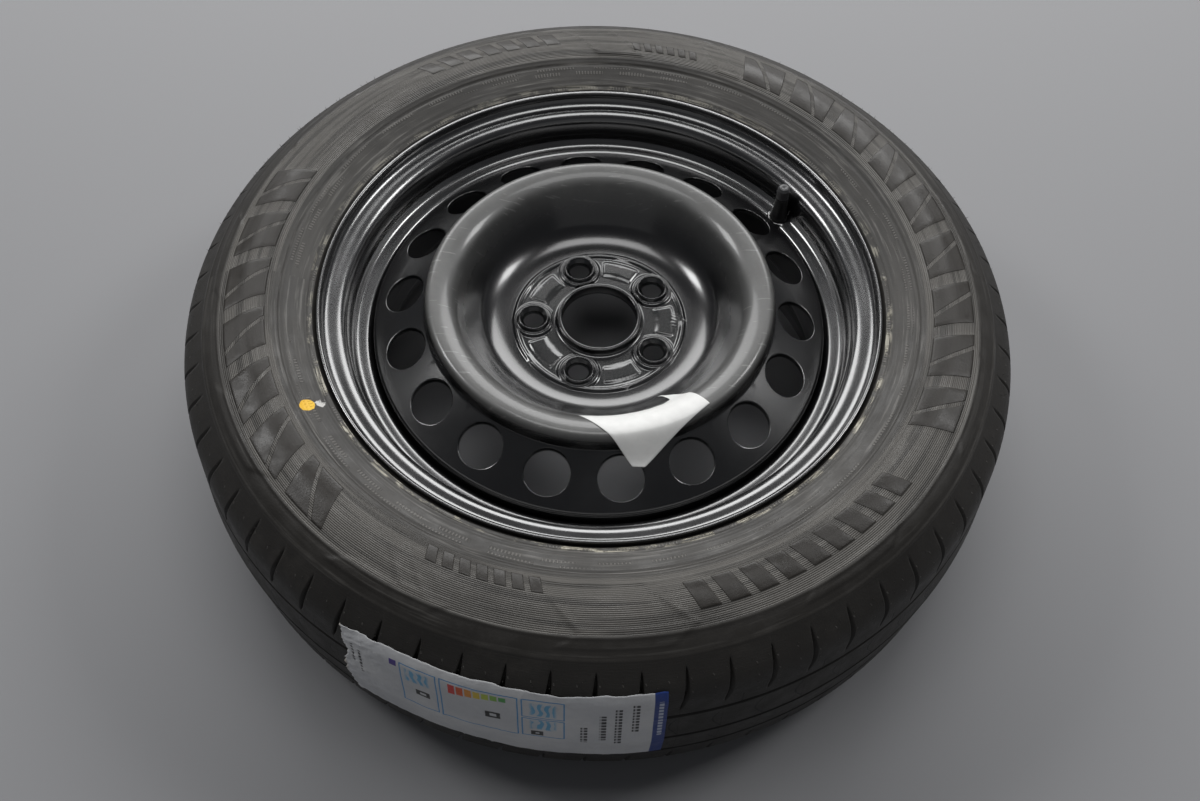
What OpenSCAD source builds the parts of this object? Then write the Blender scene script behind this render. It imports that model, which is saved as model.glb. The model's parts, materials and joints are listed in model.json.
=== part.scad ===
// Steel road wheel with its tyre, lying flat with the outer side up.
// The origin is the centre of the hub mounting face, and +Z is the wheel axis, outwards.

/* [Rim] */
// Bead seat diameter
seat_d = 380.2; // [370:0.1:390]
// Rim width between the flange faces
rim_w = 139.7; // [127:0.1:152.4]
// Distance from the rim centre plane out to the hub face
wheel_offset = 40; // [35:0.5:45]
// Rim sheet thickness
rim_t = 2.5; // [2:0.1:3]
// Flange height above the bead seat
flange_h = 17.3; // [16:0.1:19]
// Radius of the rolled flange edge
flange_round = 9.5; // [8.5:0.1:10]
// Depth of the well below the bead seat
well_depth = 17.3; // [16:0.1:20]
// Width of each bead seat up to its hump
seat_w = 17.5; // [16:0.1:19]
// Height of the hump above the bead seat
hump_h = 1.2; // [0.8:0.1:2]
// Slope of the outer well wall, from flat
well_slope = 35; // [30:1:40]

/* [Disc] */
// Disc sheet thickness
disc_t = 3.5; // [3:0.1:4]
// Centre bore radius
bore_r = 28.55; // [27:0.05:32]
// Height of the collar round the bore
collar_h = 9.5; // [8:0.1:11]
// Radius of the raised ring round the hub face
ridge_r = 63.5; // [62:0.5:64.5]
// Height of the raised ring above the hub plate
ridge_h = 1.3; // [0.8:0.1:1.6]
// Slope of the dish wall
dish_slope = 54; // [50:1:57]
// Radius of the curve at the foot of the dish wall
dish_round = 28; // [20:1:30]
// Radius at which the crest is highest
crest_r = 123; // [121:0.5:125]
// Height of the crest above the hub face
crest_z = 43; // [41:0.5:45]
// Rounding of the crest towards the dish
crest_round_in = 22; // [18:1:24]
// Rounding of the crest towards the vents
crest_round_out = 6.5; // [6:0.1:7]
// Depth of the flange that is pressed into the well, below the hub face
skirt_depth = 28; // [22:1:34]

/* [Vents] */
// Number of vent holes
vent_n = 18; // [12:1:18]
// Vent hole diameter
vent_d = 33; // [28:0.2:34]
// Radius of the circle of vents
vent_r = 147.2; // [147:0.1:148]
// Height of the vent circle above the hub face
vent_z = 21.4; // [20:0.1:23]
// Slope of the vent band
vent_slope = 28; // [24:1:30]
// Angle of the first vent
vent_a = 17.1; // [0:0.1:20]
// Width of the rounded edge of a vent
vent_edge = 0.5; // [0.3:0.1:0.6]

/* [Bolt holes] */
// Number of wheel bolts
bolt_n = 5; // [4:1:5]
// Bolt circle diameter
bolt_pcd = 100; // [98:0.5:102]
// Bolt hole radius
bolt_r = 7.75; // [7:0.05:8.5]
// Outer radius of a bolt seat
bolt_seat_r = 10.7; // [10:0.1:11.5]
// Height of a bolt seat above the hub face
bolt_seat_z = 8; // [7:0.1:8.5]
// Radius of the swelling round a bolt seat
bolt_boss_r = 16.8; // [16:0.1:17.2]
// Angle of the first bolt
bolt_a = 37.4; // [0:0.1:72]

/* [Tyre] */
// Tyre diameter over the tread
tyre_d = 621.5; // [610:0.5:630]
// Tyre width over the sidewalls
tyre_w = 189; // [185:0.5:194]
// Place of the widest point up the sidewall, as a share of its height
wide_share = 0.488; // [0.47:0.002:0.51]
// Rubber thickness under the tread
tread_t = 13.4; // [12.5:0.1:15]
// Rubber thickness at the sidewall
side_t = 6; // [5:0.5:7]
// Half width of the tread
tread_half = 63.5; // [61:0.5:66]
// Shoulder rounding of the tread
shoulder_round = 26; // [20:1:30]
// Tread groove width
groove_w = 4; // [3:0.1:6]
// Tread groove depth
groove_depth = 7.5; // [6:0.1:8]
// Distance between tread grooves
groove_gap = 33; // [30:0.5:35]
// Number of slots round each shoulder
slot_n = 66; // [48:1:72]
// Width of a shoulder slot
slot_w = 2.6; // [2:0.1:4]
// Length of a shoulder slot
slot_len = 30; // [24:0.5:32]

/* [Valve] */
// Radius at which the valve stands
valve_r = 179.2; // [179.1:0.05:179.4]
// Angle of the valve, in line with a bolt hole
valve_a = 37.4; // [0:0.1:72]
// Valve hole radius in the rim
valve_hole_r = 5.65; // [5.5:0.05:6]
// Height of the flat round the valve hole
valve_flat_z = 5; // [4.5:0.1:5.5]
// Length of the valve above its flat, without the cap
valve_len = 33; // [30:0.5:35]
// Outer radius of the stem thread
stem_r = 3.85; // [3.7:0.05:4]
// Pitch of the stem thread
stem_pitch = 0.794; // [0.7:0.001:0.9]
// Outer radius of the cap
cap_r = 4.9; // [4.7:0.05:5.2]
// Length of the cap
cap_len = 11; // [10:0.5:12]
// Travel of the core pin
pin_travel = 1.2; // [0.8:0.1:1.3]

/* [Labels] */
// Height of the tread label across the tread
label_w = 98; // [80:1:104]
// Angle taken up by the tread label
label_span = 40.8; // [30:0.1:50]
// Thickness of the label and sticker paper
paper_t = 0.3; // [0.2:0.05:0.5]

/* [Hidden] */

steel_black = [0.05, 0.05, 0.055];
rubber_grey = [0.16, 0.155, 0.15];
rubber_black = [0.07, 0.07, 0.07];
brass = [0.78, 0.62, 0.3];
plated = [0.7, 0.7, 0.68];
white_paper = [0.9, 0.9, 0.88];

// Largest turn between two points of a rounded corner, in degrees
arc_step = 12;
// Facets of the round parts
round_fn = 180;
small_fn = 64;
// Overrun of cutting tools
over = 1;

seat_r = seat_d / 2;
seat_taper = 5;
heel_round = 6.5;
flange_lip = 3.5;
hump_round = 4;
hump_rise_w = 3.5;
well_round = 8;
well_inner_z = -10;
ledge_r = seat_r - 5;
ledge_z = -40;
// Outer face of the tyre side of the flange, measured from the rim centre plane
face_x = rim_w / 2;
well_r = seat_r - well_depth;
skirt_r = well_r - rim_t;

function unit(v) = v / norm(v);
function xy(p) = [p[0], p[1]];
function backwards(list) = [for (i = [len(list) - 1:-1:0]) list[i]];
function mirrored(path) = [for (p = backwards(path)) [p[0], -p[1]]];

// Points of an arc about c, from angle a0 to angle a1
function arc(c, r, a0, a1) =
    let (n = ceil(abs(a1 - a0) / arc_step))
    [for (i = [0:n]) c + r * [cos(a0 + (a1 - a0) * i / n), sin(a0 + (a1 - a0) * i / n)]];

// The arc of radius r that rounds the corner at q between p and s
function corner(p, q, s, r) =
    let (u = unit(p - q), w = unit(s - q), half = acos(u * w) / 2,
        a = q + u * r / tan(half), b = q + w * r / tan(half),
        c = q + unit(u + w) * r / sin(half),
        a0 = atan2(a.y - c.y, a.x - c.x), a1 = atan2(b.y - c.y, b.x - c.x),
        turn = a1 - a0 > 180 ? a1 - a0 - 360 : a1 - a0 < -180 ? a1 - a0 + 360 : a1 - a0)
    arc(c, r, a0, a0 + turn);

// The path without points that repeat the one before
function distinct(path) =
    [for (i = [0:len(path) - 1]) if (i == 0 || norm(path[i] - path[max(i - 1, 0)]) > 0.001) path[i]];

// A path through points [x, y, rounding], with its corners rounded
function rounded(pts) = distinct(
    [for (i = [0:len(pts) - 1])
        each (i == 0 || i == len(pts) - 1 || pts[i][2] == 0
            ? [xy(pts[i])]
            : corner(xy(pts[i - 1]), xy(pts[i]), xy(pts[i + 1]), pts[i][2]))]);

function left_of(a, b) = let (d = unit(b - a)) [-d.y, d.x];

// The path moved sideways by t, to the left of its direction
function beside(path, t) =
    [for (i = [0:len(path) - 1])
        let (n1 = left_of(path[max(i - 1, 0)], path[max(i, 1)]),
            n2 = left_of(path[min(i, len(path) - 2)], path[min(i + 1, len(path) - 1)]))
        path[i] + t * (n1 + n2) / (1 + n1 * n2)];

function strip(path, t) = concat(path, backwards(beside(path, t)));

// Where the line through p at slope a meets the line through q at slope b
function meet(p, a, q, b) =
    let (u = [cos(a), sin(a)], w = [cos(b), sin(b)], d = q - p,
        k = (d.x * w.y - d.y * w.x) / (u.x * w.y - u.y * w.x))
    p + k * u;

// Rim section: the tyre side of one flange, from its lip to the foot of the hump
lip_c = [seat_r + flange_h - flange_round, face_x + flange_round];
hump_x = face_x - seat_w - hump_rise_w;
hump_r = seat_r - seat_w * tan(seat_taper) + hump_h;
function flange_side(contact_a) = concat(
    arc(lip_c, flange_round, contact_a, -90),
    rounded([[lip_c.x, face_x], [seat_r, face_x, heel_round],
        [seat_r - seat_w * tan(seat_taper), face_x - seat_w]]));
rim_outer_half = concat(flange_side(asin(flange_lip / flange_round)), [[hump_r, hump_x]]);
hump_foot = [well_r, hump_x - (hump_r - well_r) * tan(well_slope)];
function hump_rounded(path) =
    [for (p = path) abs(p.y) == hump_x ? [p.x, p.y, hump_round] : [p.x, p.y, 0]];
rim_path = rounded(concat(
    hump_rounded(rim_outer_half),
    [[hump_foot.x, hump_foot.y, well_round], [well_r, well_inner_z, well_round],
        [ledge_r, ledge_z, well_round]],
    hump_rounded(mirrored(rim_outer_half))));

// Valve cup: a small level land pressed into the sloping well wall
foot_r = 7;
head_r = 7.4;
land_r = foot_r + 0.1;
cup_in_r = head_r + 0.2;
cup_out_r = 8.7;
cup_low_z = -4;
// Height of the well wall on the air side at radius r
function air_z(r) = hump_x - wheel_offset - (hump_r - r) * tan(well_slope) + rim_t / cos(well_slope);

module at_valve() {
    rotate([0, 0, valve_a]) translate([valve_r, 0, 0]) children();
}

module rim() {
    color(steel_black) difference() {
        union() {
            translate([0, 0, -wheel_offset]) rotate_extrude($fn = round_fn)
                polygon(strip(rim_path, -rim_t));
            at_valve() translate([0, 0, valve_flat_z - rim_t])
                cylinder(r = cup_out_r, h = rim_t, $fn = small_fn);
            intersection() {
                at_valve() translate([0, 0, cup_low_z])
                    cylinder(r = cup_out_r, h = valve_flat_z - cup_low_z, $fn = small_fn);
                rotate_extrude($fn = round_fn) polygon([
                    [skirt_r, air_z(skirt_r) - 0.5], [valve_r + 2, air_z(valve_r + 2) - 0.5],
                    [valve_r + 2, valve_flat_z + 4], [skirt_r, valve_flat_z + 4]]);
            }
            intersection() {
                at_valve() translate([0, 0, valve_flat_z - rim_t])
                    cylinder(r = cup_out_r, h = 9, $fn = small_fn);
                rotate_extrude($fn = round_fn) polygon([
                    [valve_r - 2, air_z(valve_r - 2) - 1], [hump_r - 3, air_z(hump_r - 3) - 1],
                    [hump_r, air_z(hump_r - 3) - 1], [hump_r, cup_low_z], [valve_r - 2, cup_low_z]]);
            }
        }
        at_valve() rotate_extrude($fn = small_fn) polygon([
            [0, cup_low_z], [cup_in_r, cup_low_z], [cup_in_r, valve_flat_z - rim_t],
            [valve_hole_r, valve_flat_z - rim_t], [valve_hole_r, valve_flat_z],
            [land_r, valve_flat_z], [land_r, valve_flat_z + 6], [0, valve_flat_z + 6]]);
    }
}

// Disc section: the outer side, from the bore to the end of the skirt
function on_top(c, r, slope) = c + r * [-sin(slope), cos(slope)];
crest_wall_slope = -80;
crest_in_c = [crest_r, crest_z - crest_round_in];
crest_out_c = [crest_r, crest_z - crest_round_out];
dish_tangent = on_top(crest_in_c, crest_round_in, dish_slope);
wall_tangent = on_top(crest_out_c, crest_round_out, crest_wall_slope);
dish_foot = meet(dish_tangent, dish_slope, [0, disc_t], 0);
crest_a = meet(dish_tangent, dish_slope, [0, crest_z], 0);
crest_b = meet(wall_tangent, crest_wall_slope, [0, crest_z], 0);
wall_foot = meet(wall_tangent, crest_wall_slope, [vent_r, vent_z], -vent_slope);
outer_edge = meet([skirt_r, 0], 90, [vent_r, vent_z], -vent_slope);
disc_path = rounded([
    [bore_r, disc_t, 0],
    [dish_foot.x, dish_foot.y, dish_round],
    [crest_a.x, crest_a.y, crest_round_in],
    [crest_b.x, crest_b.y, crest_round_out],
    [wall_foot.x, wall_foot.y, 1.5],
    [outer_edge.x, outer_edge.y, 5],
    [skirt_r, -skirt_depth, 0]]);

collar_t = 3.3;
pad_h = 1;
pad_in_r = 43.5;
pad_out_r = 57.5;
pad_span = 30;
seat_depth = 3.4;
relief_r = 11;
relief_depth = 1.5;

module at_bolts() {
    for (i = [0:bolt_n - 1])
        rotate([0, 0, bolt_a + i * 360 / bolt_n]) translate([bolt_pcd / 2, 0, 0]) children();
}

module bolt_boss() {
    rotate_extrude($fn = small_fn) polygon([
        [0, disc_t - over], [bolt_boss_r + 0.8, disc_t - over],
        [bolt_boss_r - 1.6, disc_t + ridge_h + 0.5], [bolt_seat_r + 2.6, disc_t + ridge_h + 1],
        [bolt_seat_r + 1, bolt_seat_z - 0.2], [bolt_seat_r + 0.5, bolt_seat_z], [0, bolt_seat_z]]);
}

module bolt_cut() {
    rotate_extrude($fn = small_fn) polygon([
        [0, -over], [relief_r, -over], [relief_r, 0], [relief_r - relief_depth, relief_depth],
        [bolt_r, relief_depth], [bolt_r, bolt_seat_z - seat_depth], [bolt_seat_r, bolt_seat_z],
        [bolt_seat_r, bolt_seat_z + over], [0, bolt_seat_z + over]]);
}

module hub_ridge() {
    rotate_extrude($fn = round_fn) polygon([
        [ridge_r - 3.8, disc_t - over / 2], [ridge_r - 1, disc_t + ridge_h],
        [ridge_r + 0.6, disc_t + ridge_h], [ridge_r + 2.6, disc_t - over / 2]]);
}

module collar() {
    rotate_extrude($fn = round_fn) polygon(concat(
        [[bore_r, 0], [bore_r, collar_h - 0.6], [bore_r + 0.6, collar_h],
            [bore_r + collar_t - 1, collar_h], [bore_r + collar_t, collar_h - 1]],
        corner([bore_r + collar_t, collar_h], [bore_r + collar_t, disc_t], [bore_r + 12, disc_t], 3),
        [[bore_r + 8, disc_t], [bore_r + 8, 0]]));
}

module pads() {
    for (i = [0:bolt_n - 1])
        rotate([0, 0, bolt_a + (i + 0.5) * 360 / bolt_n - pad_span / 2])
            rotate_extrude(angle = pad_span, $fn = round_fn) polygon([
                [pad_in_r, disc_t - over], [pad_in_r, disc_t], [pad_in_r + 1.4, disc_t + pad_h],
                [pad_out_r - 1.4, disc_t + pad_h], [pad_out_r, disc_t], [pad_out_r, disc_t - over]]);
}

module vent_cut() {
    for (i = [0:vent_n - 1])
        rotate([0, 0, vent_a + i * 360 / vent_n]) translate([vent_r, 0, vent_z])
            rotate([0, vent_slope, 0]) rotate_extrude($fn = small_fn) polygon([
                [0, -9], [vent_d / 2, -9], [vent_d / 2, -vent_edge],
                [vent_d / 2 + vent_edge, 0], [vent_d / 2 + vent_edge, 4], [0, 4]]);
}

module wheel_disc() {
    color(steel_black) difference() {
        union() {
            rotate_extrude($fn = round_fn) polygon(strip(disc_path, -disc_t));
            collar();
            pads();
            hub_ridge();
            at_bolts() bolt_boss();
        }
        at_bolts() bolt_cut();
        vent_cut();
    }
}

// Fillet welds between the end of the skirt and the well
weld_n = 8;
weld_span = 22;
weld_leg = 3.3;
module disc_welds() {
    color(steel_black) for (i = [0:weld_n - 1])
        rotate([0, 0, vent_a + (i + 0.5) * 360 / weld_n - weld_span / 2])
            rotate_extrude(angle = weld_span, $fn = round_fn) polygon([
                [skirt_r, -skirt_depth], [skirt_r - weld_leg, -skirt_depth],
                [skirt_r - weld_leg * 0.75, -skirt_depth - weld_leg * 0.85],
                [skirt_r, -skirt_depth - weld_leg * 1.3]]);
}

// Tyre section, half of it, measured from the rim centre plane
tyre_r = tyre_d / 2;
side_h = tyre_r - seat_r;
// Radius at a share of the sidewall's height
function up_side(share) = seat_r + share * side_h;
crown_drop = 4.9;
bead_contact_a = -13;
wide_x = tyre_w / 2 + 2.6;
side_top = [up_side(0.7534), wide_x - 9.1];
bead_top = [lip_c.x + 0.1 * side_h, face_x + 11.2];
tyre_out_half = rounded([
    [tyre_r, 0, 0],
    [tyre_r - crown_drop, tread_half, shoulder_round],
    [side_top.x, side_top.y, 0.33 * side_h],
    [up_side(wide_share), wide_x, 0.3 * side_h],
    [bead_top.x, bead_top.y, 0]]);
tyre_bead_half = flange_side(bead_contact_a);
toe_x = face_x - seat_w;
tyre_in_half = rounded([
    [seat_r - seat_w * tan(seat_taper) + 2, toe_x, 0],
    [seat_r + 10, toe_x + 4.5, 8],
    [bead_top.x + 0.1 * side_h, bead_top.y + 3.4 - side_t * 0.4, 0.16 * side_h],
    [up_side(wide_share + 0.008), tyre_w / 2 + 0.9 - side_t, 0.29 * side_h],
    [up_side(0.7555), wide_x - 12 - side_t, 0.18 * side_h],
    [tyre_r - tread_t - 2.5, tread_half - 6, 0.16 * side_h],
    [tyre_r - tread_t, 0, 0]]);
tyre_half = concat(tyre_out_half, tyre_bead_half, tyre_in_half);

function outer_at(r) = lookup(r, [for (p = backwards(tyre_out_half)) if (p.x < tyre_r - 8) [p.x, p.y]]);
function crown_at(x) = lookup(abs(x), [for (p = tyre_out_half) if (p.x > up_side(0.66)) [p.y, p.x]]);

// Rings moulded into the sidewall, as [share of the sidewall's height, section radius, height]
ring_ribs = [[0.202, 1.3, 0.7], [0.24, 0.7, 0.5], [0.385, 0.8, 0.4], [0.704, 0.8, 0.4],
    [0.77, 1.0, 0.8], [0.803, 1.0, 0.8]];
groove_ring_r = up_side(0.3423);

module side_rings(side) {
    for (rib = ring_ribs)
        scale([1, 1, side]) rotate_extrude($fn = round_fn)
            translate([up_side(rib[0]), outer_at(up_side(rib[0])) - rib[1] + rib[2]])
                circle(r = rib[1], $fn = 24);
}

slot_mid_x = tread_half - 4.5;
slot_lean = 8;
slot_floor_r = tyre_r - 15;
module shoulder_slots(side) {
    for (i = [0:slot_n - 1])
        rotate([0, 0, i * 360 / slot_n]) translate([slot_floor_r, 0, side * slot_mid_x])
            rotate([slot_lean, 0, 0]) translate([0, -slot_w / 2, -slot_len / 2])
                cube([22, slot_w, slot_len]);
}

module tyre() {
    color(rubber_grey) translate([0, 0, -wheel_offset]) difference() {
        union() {
            rotate_extrude($fn = round_fn) polygon(concat(tyre_half, mirrored(tyre_half)));
            side_rings(1);
            side_rings(-1);
        }
        for (k = [-1:1])
            rotate_extrude($fn = round_fn)
                translate([tyre_r - groove_depth, k * groove_gap - groove_w / 2])
                    square([groove_depth + 5, groove_w]);
        for (side = [-1, 1])
            rotate_extrude($fn = round_fn)
                translate([groove_ring_r, side * (outer_at(groove_ring_r) + 0.3)]) circle(r = 1.1, $fn = 24);
        shoulder_slots(1);
        shoulder_slots(-1);
    }
}

// Snap-in valve, standing on its land beside the well
head_h = 4;
stem_base_z = -6;
stem_top_z = valve_flat_z + valve_len;
stem_bore_r = 2.65;
stem_low_r = 2.1;
rubber_top_z = stem_top_z - cap_len + 1.2;
land_under_z = valve_flat_z - rim_t;
valve_round_fn = 48;

module turned(points) {
    rotate_extrude($fn = valve_round_fn) polygon(points);
}

module valve_rubber() {
    color(rubber_black) at_valve() turned([
        [stem_r - 0.6, land_under_z - head_h], [head_r - 1, land_under_z - head_h],
        [head_r, land_under_z - head_h + 1.2], [head_r, land_under_z - 0.8], [head_r - 0.8, land_under_z],
        [valve_hole_r, land_under_z], [valve_hole_r, valve_flat_z], [foot_r, valve_flat_z],
        [foot_r, valve_flat_z + 1.2], [6.2, valve_flat_z + 3.4], [5.6, valve_flat_z + 10],
        [5.1, rubber_top_z - 1], [4.7, rubber_top_z], [stem_r - 0.6, rubber_top_z]]);
}

// Core seat: the step in the stem bore that the gasket closes
core_top_z = stem_top_z - 1.2;
plug_len = 5.5;
gasket_z = core_top_z - plug_len - 3.4;
barrel_z = gasket_z - 7.5;
thread_relief = 0.6;

module valve_stem() {
    color(brass) at_valve() turned([
        [stem_low_r, stem_base_z], [stem_r - 0.6, stem_base_z], [stem_r - 0.6, rubber_top_z],
        [stem_r, rubber_top_z + thread_relief], [stem_r, stem_top_z - 0.6], [stem_r - 0.6, stem_top_z],
        [stem_bore_r, stem_top_z], [stem_bore_r, gasket_z + 2.2], [stem_low_r, gasket_z]]);
}

core_gap = 0.05;
plug_bore_r = 0.85;
module core_plug() {
    color(brass) at_valve() difference() {
        turned([
            [plug_bore_r, core_top_z - plug_len], [1.7, core_top_z - plug_len],
            [stem_bore_r - core_gap, core_top_z - plug_len + 1], [stem_bore_r - core_gap, core_top_z - 1.5],
            [1.6, core_top_z - 1.2], [1.6, core_top_z], [plug_bore_r, core_top_z]]);
        for (s = [-1, 1]) translate([s * 1.7 - 0.6, -2, core_top_z - 1.3]) cube([1.2, 4, 2]);
    }
}

barrel_r = 1.75;
barrel_in_r = 1.3;
pin_r = 0.45;
floor_h = 0.8;
neck_z = gasket_z + 2.4;
module core_barrel() {
    color(brass) at_valve() turned([
        [pin_r + 0.1, barrel_z], [barrel_r, barrel_z], [barrel_r, gasket_z],
        [barrel_r - 0.25, gasket_z], [barrel_r - 0.25, neck_z], [barrel_r, neck_z],
        [barrel_r, core_top_z - plug_len], [barrel_in_r, core_top_z - plug_len],
        [barrel_in_r, barrel_z + floor_h], [pin_r + 0.1, barrel_z + floor_h]]);
}

module core_gasket() {
    color(rubber_black) at_valve() turned([
        [barrel_r - 0.25, gasket_z], [stem_low_r - core_gap, gasket_z],
        [stem_bore_r - core_gap, neck_z], [barrel_r - 0.25, neck_z]]);
}

collar_z = barrel_z + floor_h + 6.2;
pin_collar_r = 1.2;
cup_h = 1.5;
seal_h = 0.7;
module core_pin() {
    color(plated) at_valve() turned([
        [0, barrel_z - seal_h - cup_h], [pin_r, barrel_z - seal_h - cup_h], [pin_r, collar_z],
        [pin_collar_r, collar_z], [pin_collar_r, collar_z + 0.6], [pin_r, collar_z + 0.6],
        [pin_r, core_top_z + 0.6], [0, core_top_z + 0.9]]);
}

module core_cup() {
    color(brass) at_valve() turned([
        [pin_r, barrel_z - seal_h - cup_h], [1.75, barrel_z - seal_h - cup_h],
        [1.75, barrel_z - seal_h + 0.3], [1.55, barrel_z - seal_h + 0.3],
        [1.55, barrel_z - seal_h], [pin_r, barrel_z - seal_h]]);
}

module core_cup_seal() {
    color(rubber_black) at_valve() turned([
        [pin_r, barrel_z - seal_h], [1.55, barrel_z - seal_h], [1.55, barrel_z], [pin_r, barrel_z]]);
}

// Closed coil of round wire between the barrel floor and the pin's collar
spring_r = 0.95;
wire_r = 0.16;
coils = 7;
spring_low = barrel_z + floor_h + wire_r;
spring_high = collar_z - wire_r;
ring_steps = 14;
wire_sides = 6;
function wire_point(k, j) =
    let (a = k * 360 / ring_steps, s = k / (coils * ring_steps), b = j * 360 / wire_sides,
        r = spring_r + wire_r * cos(b))
    [r * cos(a), r * sin(a), spring_low + s * (spring_high - spring_low) + wire_r * sin(b)];

module core_spring() {
    rings = coils * ring_steps;
    points = [for (k = [0:rings], j = [0:wire_sides - 1]) wire_point(k, j)];
    sides = [for (k = [0:rings - 1], j = [0:wire_sides - 1])
        let (n = (j + 1) % wire_sides)
        [k * wire_sides + j, (k + 1) * wire_sides + j, (k + 1) * wire_sides + n, k * wire_sides + n]];
    ends = [[for (j = [0:wire_sides - 1]) j],
        [for (j = [wire_sides - 1:-1:0]) rings * wire_sides + j]];
    color(plated) at_valve() polyhedron(points = points, faces = concat(sides, ends));
}

// Screw cap, with a sealing disc in its top
cap_clear = 0.08;
cap_base_z = rubber_top_z + 0.4;
cap_top_z = cap_base_z + cap_len;
seal_t = 1;
cap_seal_z = stem_top_z + 0.05;
module valve_cap() {
    color(rubber_black) at_valve() turned([
        [stem_r + cap_clear, cap_base_z], [cap_r, cap_base_z], [cap_r, cap_top_z - 2.2],
        [cap_r - 0.8, cap_top_z - 1.6], [cap_r - 1.2, cap_top_z], [0, cap_top_z],
        [0, cap_seal_z + seal_t], [stem_r + cap_clear, cap_seal_z + seal_t]]);
}

seal_hole_r = 1.5;
module valve_cap_seal() {
    color(rubber_grey) at_valve() turned([
        [seal_hole_r, cap_seal_z], [stem_r, cap_seal_z],
        [stem_r, cap_seal_z + seal_t], [seal_hole_r, cap_seal_z + seal_t]]);
}

// Paper label stuck round the tread
label_a = -121.5;
label_top_x = 67;
label_steps = 16;
paper_lift = 0.3;
label_line = [for (i = [0:label_steps])
    let (x = label_top_x - label_w * i / label_steps) [crown_at(x) + paper_lift, x]];
module tread_label() {
    color(white_paper) translate([0, 0, -wheel_offset]) rotate([0, 0, label_a])
        rotate_extrude(angle = label_span, $fn = round_fn) polygon(strip(label_line, paper_t));
}

// Torn paper sticker over the crest of the disc
sticker_in_r = 97;
sticker_out_r = 143.5;
sticker_line = concat(
    [for (p = disc_path) if (p.x > sticker_in_r && p.x < crest_r + 4 && p.y > disc_t + 9) p],
    [[sticker_out_r, vent_z + (vent_r - sticker_out_r) * tan(vent_slope) + 0.4]]);
sticker_outline = [[-14, -108], [-13, -113], [26, -142], [34, -141], [79, -101], [66, -88],
    [52, -86], [34, -97], [15, -102], [4, -104]];
module disc_sticker() {
    color(white_paper) intersection() {
        rotate_extrude($fn = round_fn) polygon(strip(beside(sticker_line, paper_lift), paper_t));
        linear_extrude(height = crest_z + 10) polygon(sticker_outline);
    }
}

rim();
wheel_disc();
disc_welds();
tyre();
valve_rubber();
valve_stem();
core_plug();
core_barrel();
core_gasket();
core_pin();
core_cup();
core_cup_seal();
core_spring();
valve_cap();
valve_cap_seal();
tread_label();
disc_sticker();
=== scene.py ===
import json
import math

import bmesh
import bpy
import numpy as np
from mathutils import Matrix, Vector

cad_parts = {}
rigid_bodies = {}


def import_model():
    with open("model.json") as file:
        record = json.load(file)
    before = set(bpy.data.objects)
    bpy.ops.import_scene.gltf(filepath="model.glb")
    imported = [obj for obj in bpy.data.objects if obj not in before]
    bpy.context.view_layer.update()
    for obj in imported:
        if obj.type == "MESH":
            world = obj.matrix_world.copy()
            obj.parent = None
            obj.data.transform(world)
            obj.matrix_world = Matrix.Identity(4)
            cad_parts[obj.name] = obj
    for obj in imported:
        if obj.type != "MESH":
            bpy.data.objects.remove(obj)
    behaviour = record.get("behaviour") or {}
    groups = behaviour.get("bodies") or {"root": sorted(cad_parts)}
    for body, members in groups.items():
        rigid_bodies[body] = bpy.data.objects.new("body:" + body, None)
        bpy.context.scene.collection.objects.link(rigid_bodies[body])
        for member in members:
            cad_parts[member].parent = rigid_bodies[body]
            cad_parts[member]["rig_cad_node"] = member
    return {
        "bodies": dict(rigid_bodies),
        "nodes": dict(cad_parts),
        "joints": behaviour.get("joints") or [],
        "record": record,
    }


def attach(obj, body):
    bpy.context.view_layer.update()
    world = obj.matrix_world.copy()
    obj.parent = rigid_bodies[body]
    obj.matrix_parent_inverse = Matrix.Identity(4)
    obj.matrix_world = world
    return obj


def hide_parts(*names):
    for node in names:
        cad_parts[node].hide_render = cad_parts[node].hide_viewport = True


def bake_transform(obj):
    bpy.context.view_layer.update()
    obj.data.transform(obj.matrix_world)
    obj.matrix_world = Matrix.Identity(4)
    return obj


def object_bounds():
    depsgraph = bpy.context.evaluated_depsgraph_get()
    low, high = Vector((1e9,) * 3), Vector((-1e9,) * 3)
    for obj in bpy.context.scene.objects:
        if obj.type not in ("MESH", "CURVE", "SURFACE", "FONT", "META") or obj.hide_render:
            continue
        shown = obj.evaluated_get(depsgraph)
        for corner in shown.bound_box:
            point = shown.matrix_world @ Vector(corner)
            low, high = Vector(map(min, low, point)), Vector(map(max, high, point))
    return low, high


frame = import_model()
cad_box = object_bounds()
nodes = frame["nodes"]
MM = 0.001


# Points of a section: arcs, rounded corners and even spacing
def arc(c, r, a0, a1, step=6.0):
    n = max(1, math.ceil(abs(a1 - a0) / step))
    a = np.radians(np.linspace(a0, a1, n + 1))
    return [np.array([c[0] + r * math.cos(t), c[1] + r * math.sin(t)]) for t in a]


def corner(p, q, s, r, step=6.0):
    p, q, s = (np.array(v, float) for v in (p, q, s))
    u, w = (p - q) / np.linalg.norm(p - q), (s - q) / np.linalg.norm(s - q)
    half = math.acos(np.clip(u @ w, -1, 1)) / 2
    a, b = q + u * r / math.tan(half), q + w * r / math.tan(half)
    c = q + (u + w) / np.linalg.norm(u + w) * r / math.sin(half)
    a0 = math.degrees(math.atan2(*(a - c)[::-1]))
    turn = math.degrees(math.atan2(*(b - c)[::-1])) - a0
    turn = (turn + 180) % 360 - 180
    return arc(c, r, a0, a0 + turn, step)


def rounded(pts, step=6.0):
    out = []
    for i, p in enumerate(pts):
        if i in (0, len(pts) - 1) or len(p) < 3 or p[2] == 0:
            new = [np.array(p[:2], float)]
        else:
            new = corner(pts[i - 1][:2], p[:2], pts[i + 1][:2], p[2], step)
        for v in new:
            if not out or np.linalg.norm(v - out[-1]) > 1e-3:
                out.append(v)
    return out


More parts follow.
